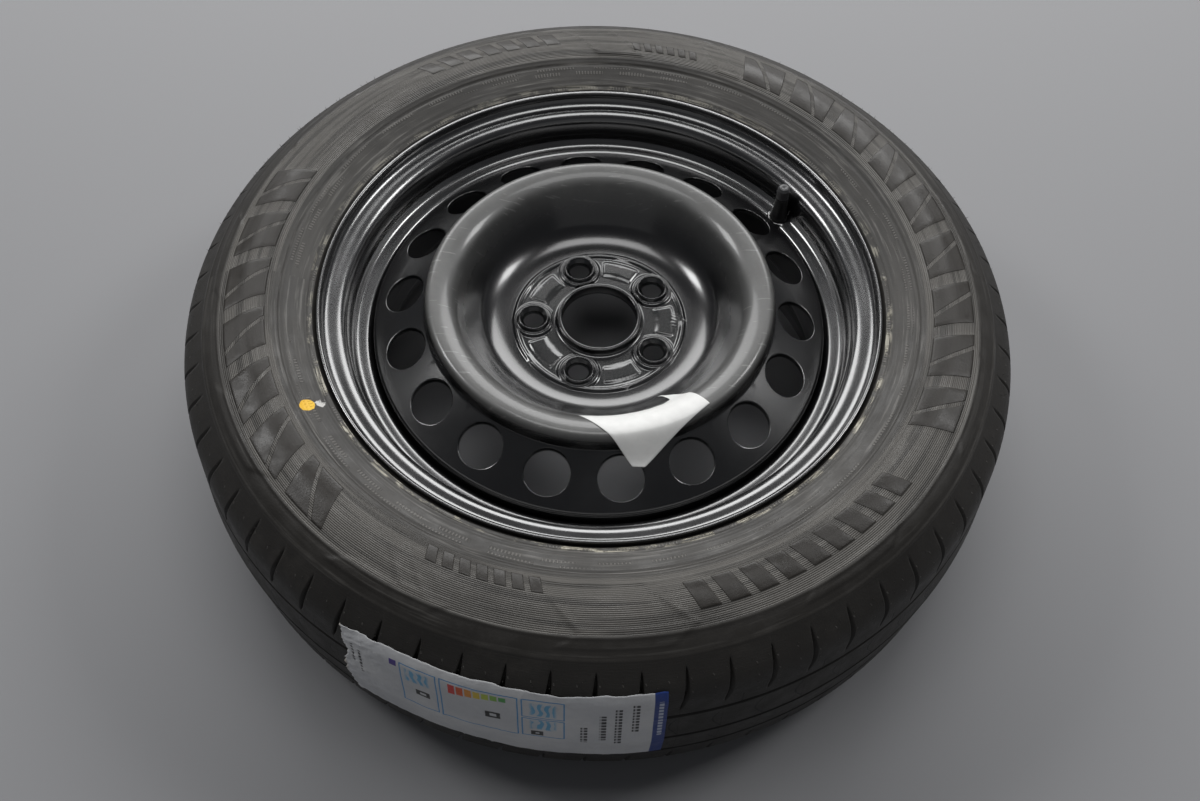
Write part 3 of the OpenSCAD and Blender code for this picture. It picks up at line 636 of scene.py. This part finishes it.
def hair_piece():
    """Thin rubber hairs left by the mould vents, on the shoulder and in two rows on the sidewall."""
    rng = np.random.default_rng(11)
    verts, faces = [], []
    for rr, count, length in ((296.5, 118, 3.4), (300.5, 96, 3.0), (275.0, 20, 2.2), (219.0, 18, 2.0)):
        for k in range(count):
            ang = 2 * math.pi * (k + rng.uniform(-0.3, 0.3)) / count
            x = float(np.interp(rr, outer_r[::-1], outer_x[::-1]))
            out = np.array([0.75, 0.66]) if rr > 290 else np.array([0.1, 1.0])
            out = out / np.linalg.norm(out) * length * rng.uniform(0.45, 1.0)
            p = np.array([rr * math.cos(ang), rr * math.sin(ang), x + OFFSET - 0.3])
            side = rng.uniform(-0.35, 0.35) * length
            tip = p + np.array([out[0] * math.cos(ang) - side * math.sin(ang),
                                out[0] * math.sin(ang) + side * math.cos(ang), out[1]])
            tangent = np.array([-math.sin(ang), math.cos(ang), 0.0])
            across = np.cross(tip - p, tangent)
            across /= np.linalg.norm(across)
            base = len(verts)
            for q in range(4):
                w = math.pi / 2 * q
                verts.append(p + 0.27 * (math.cos(w) * tangent + math.sin(w) * across))
            verts.append(tip)
            faces += [(base + q, base + (q + 1) % 4, base + 4) for q in range(4)]
    return mesh_object("tyre_mould_hairs", np.array(verts) * MM, faces)


def build_tyre():
    tread = tread_piece()
    path, r, t, z, cols = sidewall_piece()
    keep = len(path)
    side = mesh_object("tyre_sidewall_outer", polar(r, t, z) * MM, grid_faces(keep, cols))
    bead = arc(LIP_C, 9.5, -13.0, -90.0) + rounded([
        (197.9, 69.85), (190.1, 69.85, 6.5), (190.1 - 1.531, 52.35), (190.57, 52.35), (200.1, 56.85, 8),
        (222.0, 82.0, 20), (250.0, 89.4, 35), (281.2, 79.1, 22), (294.8, 57.5, 20), (297.35, 0)])[1:]
    half = [np.array(path[-1])] + bead
    liner = half + [np.array([p[0], -p[1]]) for p in half[::-1]][1:]
    inner = lathe("tyre_inside", [(p[0], p[1] + OFFSET) for p in liner], 240)
    under = [np.array([crown_r(TOP_X), -TOP_X])] + [
        np.array([p[0], -p[1]]) for p in outer_half if p[1] > TOP_X + 0.3 or p[0] < 268]
    back = lathe("tyre_sidewall_inner", [(p[0], p[1] + OFFSET) for p in dense(under, 3.0)], 360)
    hairs = hair_piece()
    for ob, mt in ((tread, tread_rubber), (side, sidewall_rubber), (inner, tread_rubber),
                   (back, sidewall_rubber), (hairs, tread_rubber)):
        dress(ob, mt)
    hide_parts("tyre")


build_tyre()

# Rim section, from the outer flange through the well
SEAT_R, FACE_X, WELL_R, HUB_T, RIM_T = 190.1, 69.85, 172.8, 3.5, 2.5
VALVE_R, VALVE_A, LAND_Z = 179.2, math.radians(37.4), 5.0
HUMP_R, HUMP_X = SEAT_R - 17.5 * math.tan(math.radians(5)) + 1.2, FACE_X - 21.0
WELL_SLOPE = math.tan(math.radians(35))


# Level ledge that carries the valve, on the air side of the well wall
LEDGE_R = (170.9, 172.2, 173.8, 175.6, 178.0, 181.0, 182.6, 184.0, 185.6, 187.6, 188.8)
LEDGE_Z = (-1.6, 1.2, 3.4, 4.5, 4.95, 5.2, 5.8, 7.0, 8.9, 10.6, 11.3)


def flange_side(a, step=6.0):
    return arc(LIP_C, 9.5, a, -90.0, step) + rounded([
        (LIP_C[0], FACE_X), (SEAT_R, FACE_X, 6.5),
        (SEAT_R - 17.5 * math.tan(math.radians(5)), FACE_X - 17.5)], step)[1:]


def rim_path():
    half = flange_side(math.degrees(math.asin(3.5 / 9.5)), 8.0)
    last = half[-1]
    middle = rounded([
        tuple(last), (HUMP_R, HUMP_X, 4), (WELL_R, HUMP_X - (HUMP_R - WELL_R) * WELL_SLOPE, 8),
        (WELL_R, -10, 8),
        (SEAT_R - 5, -40, 8), (HUMP_R, -HUMP_X, 4), (last[0], -last[1])], 10.0)[1:-1]
    return half + middle + [np.array([p[0], -p[1]]) for p in half[::-1]]


def build_rim():
    top = np.array(rim_path())
    low_side = np.array(beside(top, -RIM_T))

    def graded(part):
        out = [part[0]]
        for p, q in zip(part[:-1], part[1:]):
            fine = min(p[0], q[0]) < 188 and 30 < (p[1] + q[1]) / 2 < 56
            out += dense([p, q], 1.4 if fine else 6.0)[1:]
        return out
    a, b = graded(top), graded(low_side[::-1])
    for q in b:
        if LEDGE_R[0] < q[0] < LEDGE_R[-1] and 30 < q[1] < 56:
            q[1] = float(np.interp(q[0], LEDGE_R, LEDGE_Z)) - OFFSET
    path = np.array(a + b)
    coarse = np.linspace(0, 2 * math.pi, 360, endpoint=False)
    near = VALVE_A + np.linspace(-0.062, 0.062, 62)
    th = np.concatenate([coarse[(coarse < near[0]) | (coarse > near[-1])], near])
    th.sort()
    r, t = np.meshgrid(path[:, 0], th, indexing="ij")
    z = np.repeat(path[:, 1][:, None] + OFFSET, len(th), 1)
    x, y = r * np.cos(t), r * np.sin(t)
    d = np.hypot(x - VALVE_R * math.cos(VALVE_A), y - VALVE_R * math.sin(VALVE_A))
    inside_face = np.zeros(len(path), bool)
    inside_face[len(a):] = True
    w = np.clip((9.6 - d) / 1.9, 0, 1)
    w = w * w * (3 - 2 * w)
    near_wall = (z > -7) & (z < 12.5)
    level = np.where(inside_face[:, None], LAND_Z, LAND_Z - RIM_T)
    z = np.where(near_wall, z + w * (level - z), z)
    return outward(mesh_object("rim_visual", np.stack([x, y, z], -1).reshape(-1, 3) * MM,
                               grid_faces(len(path), len(th), closed_rows=True)))


# Pressed disc, with bolt seats in the hub and a ring of vents
BORE_R, RIDGE_R, RIDGE_H, PAD_H = 28.55, 63.5, 1.3, 1.0
CREST_R, CREST_Z, DISH, WALL = 123.0, 43.0, 54.0, -80.0
R_IN, R_OUT, DISH_R = 22.0, 6.5, 28.0
VENT_R, VENT_Z, VENT_S, VENT_D, VENT_E, VENT_A = 147.2, 21.4, 28.0, 33.0, 0.5, 17.1
SKIRT_R, SKIRT_Z = 170.3, -28.0


def meet(p, a, q, b):
    a, b = math.radians(a), math.radians(b)
    u, w = (math.cos(a), math.sin(a)), (math.cos(b), math.sin(b))
    d = (q[0] - p[0], q[1] - p[1])
    k = (d[0] * w[1] - d[1] * w[0]) / (u[0] * w[1] - u[1] * w[0])
    return (p[0] + k * u[0], p[1] + k * u[1])


def disc_paths(step):
    def on_top(c, r, s):
        s = math.radians(s)
        return (c[0] - r * math.sin(s), c[1] + r * math.cos(s))
    dish_t = on_top((CREST_R, CREST_Z - R_IN), R_IN, DISH)
    wall_t = on_top((CREST_R, CREST_Z - R_OUT), R_OUT, WALL)
    vent = (VENT_R, VENT_Z)
    pts = [(BORE_R, HUB_T), (*meet(dish_t, DISH, (0, HUB_T), 0), DISH_R),
           (*meet(dish_t, DISH, (0, CREST_Z), 0), R_IN),
           (*meet(wall_t, WALL, (0, CREST_Z), 0), R_OUT), (*meet(wall_t, WALL, vent, -VENT_S), 1.5),
           (*meet((SKIRT_R, 0), 90, vent, -VENT_S), 5), (SKIRT_R, SKIRT_Z)]
    top = np.array(rounded(pts, step))
    return top, np.array(beside(top, -HUB_T))


disc_top, disc_low = disc_paths(5.0)


def height_of(path, r, lo, hi):
    sel = (path[:, 0] > lo) & (path[:, 0] < hi)
    return np.interp(r, path[sel, 0], path[sel, 1])


def between(path, r0, r1, gap):
    """The points between radius r0 and r1 of a densely sampled path."""
    return [q for q in dense(path, gap) if r0 + 1e-6 < q[0] < r1 - 1e-6]


def sector(rect, half_angle, centre, radii, aspect, n_edge, n_side, zfun, count, a0):
    """A ring of equal sectors with a round hole each: rings of points run from the hole to the sector's edge.
    radii go outwards from the hole as (radius, z shift) and then blend to the edge."""
    r1, r2 = rect
    edge = [(r2, t) for t in np.linspace(-half_angle, half_angle, n_edge + 1)[:-1]]
    edge += [(r, half_angle) for r in np.linspace(r2, r1, n_side + 1)[:-1]]
    edge += [(r1, t) for t in np.linspace(half_angle, -half_angle, n_edge + 1)[:-1]]
    edge += [(r, -half_angle) for r in np.linspace(r1, r2, n_side + 1)[:-1]]
    er = np.array([e[0] for e in edge])
    et = np.array([e[1] for e in edge])
    ex, ey = er * np.cos(et) - centre, er * np.sin(et)
    phi = np.unwrap(np.arctan2(ey, ex / aspect))
    rings, shifts = [], []
    for rad, dz, mode in radii:
        if mode == "hole":
            px, py = centre + rad * aspect * np.cos(phi), rad * np.sin(phi)
        else:
            k = rad
            base = [q for q, _, m in radii if m == "hole"][-1]
            hx, hy = base * aspect * np.cos(phi), base * np.sin(phi)
            px, py = centre + hx + (ex - hx) * k, hy + (ey - hy) * k
        rings.append((px, py))
        shifts.append(dz)
    verts, k = [], len(edge)
    for c in range(count):
        ca, sa = math.cos(a0 + 2 * math.pi * c / count), math.sin(a0 + 2 * math.pi * c / count)
        for (px, py), dz in zip(rings, shifts):
            z = zfun(np.hypot(px, py), np.arctan2(py, px), np.hypot((px - centre) / aspect, py), dz)
            verts.append(np.stack([px * ca - py * sa, px * sa + py * ca, z], -1))
    verts = np.concatenate(verts)
    faces = []
    for c in range(count):
        f = np.array(grid_faces(len(rings), k)) + c * k * len(rings)
        faces += f.tolist()
    return verts, faces


def build_disc():
    verts, faces = [], []

    def add(v, f):
        base = sum(len(q) for q in verts)
        verts.append(v)
        faces.extend((np.array(f) + base).tolist())

    def ring(path, segs, a0=0.0):
        path = np.array(path)
        th = a0 + np.linspace(0, 2 * math.pi, segs, endpoint=False)
        r, t = np.meshgrid(path[:, 0], th, indexing="ij")
        add(polar(r, t, np.repeat(path[:, 1][:, None], segs, 1)), grid_faces(len(path), segs))

    HUB_IN, HUB_OUT = 36.6, 66.9
    B_SEG, B_SIDE = 48, 16
    fillet = corner((BORE_R + 3.3, 9.5), (BORE_R + 3.3, HUB_T), (BORE_R + 12, HUB_T), 3, 8)
    collar = [(HUB_IN, 0), (BORE_R + 0.5, 0), (BORE_R, 0.5)]
    collar += arc((BORE_R + 1.2, 8.3), 1.2, 180, 90, 12) + arc((BORE_R + 2.3, 8.5), 1.0, 90, 0, 12) + fillet
    collar += [(36.0, HUB_T), (HUB_IN, HUB_T)]
    ring(collar, 5 * B_SEG, math.radians(1.4))

    def smooth(v):
        v = np.clip(v, 0, 1)
        return v * v * (3 - 2 * v)

    def hub_top(r, t, d, dz):
        pad_t = np.abs(np.abs(t) - math.pi / 5) * 50
        pad = smooth((r - 43.2) / 1.5) * smooth((57.8 - r) / 1.5) * smooth((13.2 - pad_t) / 1.5)
        ridge = 1.7 * smooth((r - RIDGE_R + 3.4) / 3.0) * smooth((RIDGE_R + 3.0 - r) / 2.8)
        apron = (RIDGE_H + 0.45) * smooth((16.9 - d) / 2.4)
        dome = 4.5 * smooth((14.0 - d) / 3.2) ** 0.8
        foot = height_of(disc_top, r, 30, 110)
        return foot + np.maximum(np.maximum(PAD_H * pad, ridge),
                                 np.maximum(apron, np.minimum(dome, 4.5))) + dz

    def hub_zfun(r, t, d, dz):
        if isinstance(dz, tuple):
            return np.full_like(r, dz[0])
        return hub_top(r, t, d, dz)
    radii = [(11.3, (0.0,), "hole"), (9.6, (1.5,), "hole"), (7.75, (1.5,), "hole"), (7.75, (4.6,), "hole"),
             (8.3, (5.2,), "hole"), (9.5, (6.6,), "hole"), (10.6, (7.85,), "hole"),
             (10.9, (8.0,), "hole"), (11.15, 0.0, "hole")]
    for q in np.arange(11.6, 14.6, 0.42):
        radii.append((float(q), 0.0, "hole"))
    for k in np.linspace(0.045, 1, 22):
        radii.append((float(k), 0.0, "blend"))
    v, f = sector((HUB_IN, HUB_OUT), math.pi / 5, 50.0, radii, 1.0, B_SEG, B_SIDE, hub_zfun, 5,
                  math.radians(37.4))
    add(v, f)
    v, f = sector((HUB_IN, HUB_OUT), math.pi / 5, 50.0,
                  [(11.3, (0.0,), "hole")] + [(float(k), (0.0,), "blend") for k in (0.3, 0.6, 1)],
                  1.0, B_SEG, B_SIDE, hub_zfun, 5, math.radians(37.4))
    add(v, f)
    V_IN, V_OUT = 130.9, 167.0
    top_mid = [(HUB_OUT, float(height_of(disc_top, HUB_OUT, 30, 110)))] + between(
        disc_top, HUB_OUT, V_IN, 1.5)
    top_mid.append((V_IN, float(height_of(disc_top, V_IN, 130.0, 160))))
    ring(top_mid, 5 * B_SEG, math.radians(1.4))
    low_mid = [(HUB_OUT, 0.0)] + between(disc_low, HUB_OUT, V_IN, 5.0)
    drop = HUB_T / math.cos(math.radians(VENT_S))
    low_mid.append((V_IN, top_mid[-1][1] - drop))
    ring(low_mid, 120)
    N_EDGE, N_SIDE = 20, 10

    def vent_zfun(r, t, d, dz):
        if dz >= 0.9 * HUB_T:
            return height_of(disc_top, r, 130.0, 169.9) - drop
        return height_of(disc_top, r, 130.0, 169.9) - dz
    c = 1 / math.cos(math.radians(VENT_S))
    e, h = VENT_E, VENT_D / 2
    up = [(h, 2.6, "hole"), (h, e * c * 1.5, "hole"), (h + e * 0.3, e * 0.6, "hole"), (h + e, 0.0, "hole")]
    up += [(float(k), 0.0, "blend") for k in np.linspace(0.05, 1, 12)]
    a_v = math.radians(VENT_A)
    v, f = sector((V_IN, V_OUT), math.pi / 18, VENT_R, up, math.cos(math.radians(VENT_S)), N_EDGE, N_SIDE,
                  vent_zfun, 18, a_v)
    add(v, f)
    down = [(h, HUB_T, "hole")] + [(float(k), HUB_T, "blend") for k in np.linspace(0.25, 1, 3)]
    v, f = sector((V_IN, V_OUT), math.pi / 18, VENT_R, down, math.cos(math.radians(VENT_S)), N_EDGE, N_SIDE,
                  vent_zfun, 18, a_v)
    add(v, f)
    v, f = sector((V_IN, V_OUT), math.pi / 18, VENT_R, [(h, 2.6, "hole"), (h, HUB_T, "hole")],
                  math.cos(math.radians(VENT_S)), N_EDGE, N_SIDE, vent_zfun, 18, a_v)
    add(v, f)
    out_top = [(V_OUT, float(height_of(disc_top, V_OUT, 130, 169.9)))] + [
        q for q in dense(disc_top, 2.5) if q[0] > V_OUT]
    tail = [q for q in dense(disc_low, 3.0) if q[0] > 166.0]
    ring(out_top + tail[::-1], 240)
    ob = mesh_object("wheel_disc_visual", np.concatenate(verts) * MM, faces)
    bm = bmesh.new()
    bm.from_mesh(ob.data)
    bmesh.ops.remove_doubles(bm, verts=bm.verts, dist=2e-6)
    bmesh.ops.recalc_face_normals(bm, faces=bm.faces)
    bm.to_mesh(ob.data)
    bm.free()
    return ob


rim_ob = dress(build_rim(), paint_plain)
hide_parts("rim")
disc_ob = dress(build_disc(), paint)
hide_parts("wheel_disc")

# Tread label, torn sticker and valve cap
def thick_sheet(name, points, normals, thickness):
    """A thin closed sheet from a grid of points, with its back face set off against the normals."""
    rows, cols = points.shape[:2]
    front = points.reshape(-1, 3)
    rear = (points - normals * thickness).reshape(-1, 3)
    n = rows * cols
    faces = grid_faces(rows, cols, closed_cols=False)
    faces += [[q + n for q in f[::-1]] for f in faces]
    loop = [c for c in range(cols)] + [r * cols + cols - 1 for r in range(1, rows)]
    loop += [(rows - 1) * cols + c for c in range(cols - 2, -1, -1)] + [
        r * cols for r in range(rows - 2, 0, -1)]
    for p, q in zip(loop, loop[1:] + loop[:1]):
        faces.append([q, p, p + n, q + n])
    return outward(mesh_object(name, np.concatenate([front, rear]) * MM, faces))


def waves(x, y, seed, octaves=4, base=1.0):
    """Smooth repeatable noise from sums of sines, about -1 to 1."""
    rng = np.random.default_rng(seed)
    out, amp, total = 0.0, 1.0, 0.0
    for k in range(octaves):
        for _ in range(3):
            ang, ph = rng.uniform(0, 2 * math.pi, 2)
            f = base * 1.9 ** k * rng.uniform(0.8, 1.25)
            out = out + amp * np.sin(f * (x * math.cos(ang) + y * math.sin(ang)) + ph)
        total += amp * 1.7
        amp *= 0.6
    return out / total


def build_label():
    cols, rows = 190, 90
    u, v = np.meshgrid(np.linspace(0, 1, cols), np.linspace(0, 1, rows))
    s = u * 221.0
    x = 67.0 - v * 98.0
    left = 3.5 * waves(x * 0.0 + 5.0, x, 3, 5, 0.22) + 2.0
    s = s + np.clip(1 - s / 30.0, 0, 1) * left
    x = x + np.clip(1 - v / 0.25, 0, 1) * (
        1.1 * waves(s, s * 0.0, 5, 4, 0.16) - 2.8 * np.exp(-((s - 155.0) / 22.0) ** 2))
    lift = 0.35 + 0.4 * (1 + waves(s, x, 8, 5, 0.12))
    torn = np.clip(1 - s / 42.0, 0, 1)
    lift = lift + torn * 1.5 * np.abs(waves(s, x, 9, 5, 0.28))
    crease = (np.exp(-((s - 118.0 - 0.25 * (x - 20)) / 0.9) ** 2)
              + np.exp(-((s - 70.0 + 0.3 * (x - 20)) / 0.8) ** 2))
    crease = crease + np.exp(-((x - 30.0 - 0.06 * (s - 150)) / 0.8) ** 2) * (s > 90)
    lift = lift + 0.35 * crease
    lift = lift + 0.9 * np.clip(1 - v / 0.06, 0, 1) ** 2 * (0.4 + 0.6 * np.abs(waves(s, s * 0, 12, 3, 0.1)))
    r = crown_r(x) + lift
    t = np.radians(-121.5) + s / 310.0
    pts = np.stack([r * np.cos(t), r * np.sin(t), x + OFFSET], -1)
    nrm = np.stack([np.cos(t), np.sin(t), np.zeros_like(t)], -1)
    return thick_sheet("tread_label_paper", pts, nrm, 0.22)


def build_sticker():
    def along(pts, n, wobble=0.0, seed=0):
        pts = np.array(pts, float)
        d = np.concatenate([[0], np.cumsum(np.linalg.norm(np.diff(pts, axis=0), axis=1))])
        k = np.linspace(0, d[-1], n)
        out = np.stack([np.interp(k, d, pts[:, 0]), np.interp(k, d, pts[:, 1])], -1)
        out[1:-1, 1] += wobble * waves(k[1:-1], k[1:-1] * 0, seed, 5, 0.6)
        return out
    nu, nv = 70, 50
    a, b, c, d = (-12.5, -106.3), (25.6, -139.7), (78.2, -97.5), (43.5, -78.0)
    top = along([a, (4.2, -104.8), (14.5, -102.0), (33.7, -97.1), (46.0, -91.5), (51.6, -87.4),
                 (50.6, -83.2), (46.5, -80.6), d], nu, 0.55, 21)
    bottom = along([b, (34.3, -139.4), c], nu)
    left = along([a, b], nv)
    right = along([d, (54.6, -77.5), (65.1, -84.5), c], nv)
    u = np.linspace(0, 1, nu)[None, :, None]
    v = np.linspace(0, 1, nv)[:, None, None]
    p = (1 - v) * top[None] + v * bottom[None] + (1 - u) * left[:, None] + u * right[:, None]
    p -= (1 - u) * (1 - v) * top[0] + u * (1 - v) * top[-1] + (1 - u) * v * bottom[0] + u * v * bottom[-1]
    x, y = p[..., 0], p[..., 1]
    r = np.hypot(x, y)
    on = np.interp(r, disc_top[:, 0][disc_top[:, 0] < 126], disc_top[:, 1][disc_top[:, 0] < 126])
    k = np.clip((r - 125.0) / 18.5, 0, 1)
    z = np.where(r < 125, on, 42.8 + (24.2 - 42.8) * (0.35 * k + 0.65 * k * k * (3 - 2 * k)))
    z = z + 0.35 + 0.12 * (1 + waves(x, y, 31, 4, 0.16))
    flap = np.clip((y + 92.0) / 12.0, 0, 1) * np.clip((62 - x) / 16.0, 0, 1)
    z = z + 7.0 * flap ** 1.5
    pts = np.stack([x, y, z], -1)
    nrm = np.zeros_like(pts)
    nrm[..., 2] = 1.0
    return thick_sheet("disc_sticker_paper", pts, nrm, 0.18)


def build_cap():
    """The valve cap with fine grip ribs round its skirt."""
    cx, cy = VALVE_R * math.cos(VALVE_A), VALVE_R * math.sin(VALVE_A)
    rubber_top = LAND_Z + 33.0 - 11.0 + 1.2
    base = rubber_top + 0.4
    top = base + 11.0
    path = [(3.95, base, 0), (4.5, base, 0), (4.85, base + 0.3, 0), (4.85, base + 0.9, 0),
            (4.7, base + 1.2, 1), (4.7, base + 4, 1),
            (4.7, top - 2.9, 1), (4.8, top - 2.5, 0), (4.75, top - 2.2, 0), (4.1, top - 1.6, 0),
            (3.8, top - 0.4, 0), (3.5, top, 0),
            (0.02, top, 0)]
    th = np.linspace(0, 2 * math.pi, 144, endpoint=False)
    rows = []
    for r, z, rib in path:
        rr = r + rib * 0.16 * np.sign(np.sin(24 * th)) * np.abs(np.sin(24 * th)) ** 0.5
        rows.append(np.stack([cx + rr * np.cos(th), cy + rr * np.sin(th), np.full_like(th, z)], -1))
    inner = [(3.95, 0.0), (3.95, top - base - 2.0), (0.02, top - base - 2.0)]
    for r, dz in inner[::-1]:
        rows.append(np.stack([cx + r * np.cos(th), cy + r * np.sin(th), np.full_like(th, base + dz)], -1))
    v = np.stack(rows)
    return outward(mesh_object("valve_cap_ribbed", v.reshape(-1, 3) * MM,
                               grid_faces(len(rows), len(th), closed_rows=True)))


label_ob = dress(build_label(), label_paper)
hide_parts("tread_label")
sticker_ob = dress(build_sticker(), paper_white)
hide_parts("disc_sticker")
cap_ob = dress(build_cap(), cap_plastic, "cap")
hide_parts("valve_cap")


def build_spring():
    """The valve core's spring: a smooth-shaded copy of the CAD coil in plated steel, shown in its place."""
    coil = bpy.data.objects.new("core_spring_coil", nodes["core_spring"].data.copy())
    bpy.context.scene.collection.objects.link(coil)
    coil.matrix_world = nodes["core_spring"].matrix_world.copy()
    coil.data.materials.clear()
    coil.data.materials.append(plated)
    coil.data.polygons.foreach_set("use_smooth", [True] * len(coil.data.polygons))
    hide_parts("core_spring")
    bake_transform(coil)


build_spring()

# Solids that are shown as they are
for name, material in (
    ("disc_welds", paint_plain), ("valve_rubber", valve_rubber),
    ("valve_stem", brass), ("core_plug", brass), ("core_barrel", brass), ("core_gasket", valve_rubber),
    ("core_pin", plated), ("core_cup", brass), ("core_cup_seal", valve_rubber),
    ("valve_cap_seal", valve_rubber),
):
    dress(nodes[name], material)
    nodes[name].data.polygons.foreach_set("use_smooth", [True] * len(nodes[name].data.polygons))

# Stage, light and camera
low = cad_box[0][2]
floor = mesh_object("floor", [(-6, -6, low), (6, -6, low), (6, 6, low), (-6, 6, low)], [[0, 1, 2, 3]], False)
fm = Mat("floor_grey", Roughness=0.8)
fy = fm.coords()[2]
# The floor is painted lighter towards the back, away from the camera: a painted gradient of light.
fm.out(fm.mix(fm.step(fy, -900.0, 900.0), rgb(0.27, 0.272, 0.282), rgb(0.31, 0.31, 0.318)), "Base Color")
floor.data.materials.append(fm.m)

world = bpy.data.worlds.new("studio") if not bpy.context.scene.world else bpy.context.scene.world
bpy.context.scene.world = world
world.use_nodes = True
world.node_tree.nodes["Background"].inputs[0].default_value = (0.9, 0.93, 1.0, 1.0)
world.node_tree.nodes["Background"].inputs[1].default_value = 0.075


def softbox(name, place, target, size, power):
    lamp = bpy.data.lights.new(name, "AREA")
    lamp.shape, lamp.size, lamp.size_y, lamp.energy = "RECTANGLE", size[0], size[1], power
    ob = bpy.data.objects.new(name, lamp)
    bpy.context.scene.collection.objects.link(ob)
    ob.location = place
    ob.rotation_euler = (Vector(target) - Vector(place)).to_track_quat("-Z", "Y").to_euler()
    return ob


# The broad light behind the wheel makes the highlights on crest, ledge and flange; the others fill
softbox("back_softbox", (0.0, 2.12, 1.36), (0, 0, 0), (3.2, 1.3), 56)
softbox("left_softbox", (-1.75, 0.55, 1.9), (0, 0, 0), (0.6, 0.7), 15)
softbox("right_softbox", (1.75, 0.55, 1.9), (0, 0, 0), (0.6, 0.7), 15)
softbox("front_softbox", (-0.1, -2.3, 1.0), (0, 0, 0), (3.6, 1.6), 2)
softbox("top_softbox", (0.0, 0.15, 2.35), (0, 0, 0), (1.5, 0.8), 13)

FOCAL, DIST, ELEV, ROLL, U0, V0 = 1230.69, 0.93718, math.radians(53.231), math.radians(-1.676), 599.33, 317.77
back = Vector((0, -math.cos(ELEV), math.sin(ELEV)))
right = Vector((1, 0, 0))
M = Matrix((right, back.cross(right), back))
Rr = Matrix(((math.cos(ROLL), -math.sin(ROLL), 0), (math.sin(ROLL), math.cos(ROLL), 0), (0, 0, 1)))
aim = Vector(((U0 - 600) / FOCAL, -(V0 - 400.5) / FOCAL, -1)).normalized()
Rt = Vector((0, 0, -1)).rotation_difference(aim).to_matrix()
turn = (Rt @ Rr @ M).transposed()
cam_data = bpy.data.cameras.new("photo_camera")
cam_data.sensor_width, cam_data.lens = 36.0, FOCAL * 36 / 1200
cam_data.clip_start, cam_data.clip_end = 0.01, 100
cam = bpy.data.objects.new("photo_camera", cam_data)
bpy.context.scene.collection.objects.link(cam)
cam.matrix_world = Matrix.Translation(Vector((0, 0, 0.00733)) + back * DIST) @ turn.to_4x4()
bpy.context.scene.camera = cam
bpy.context.scene.view_settings.view_transform = "Standard"
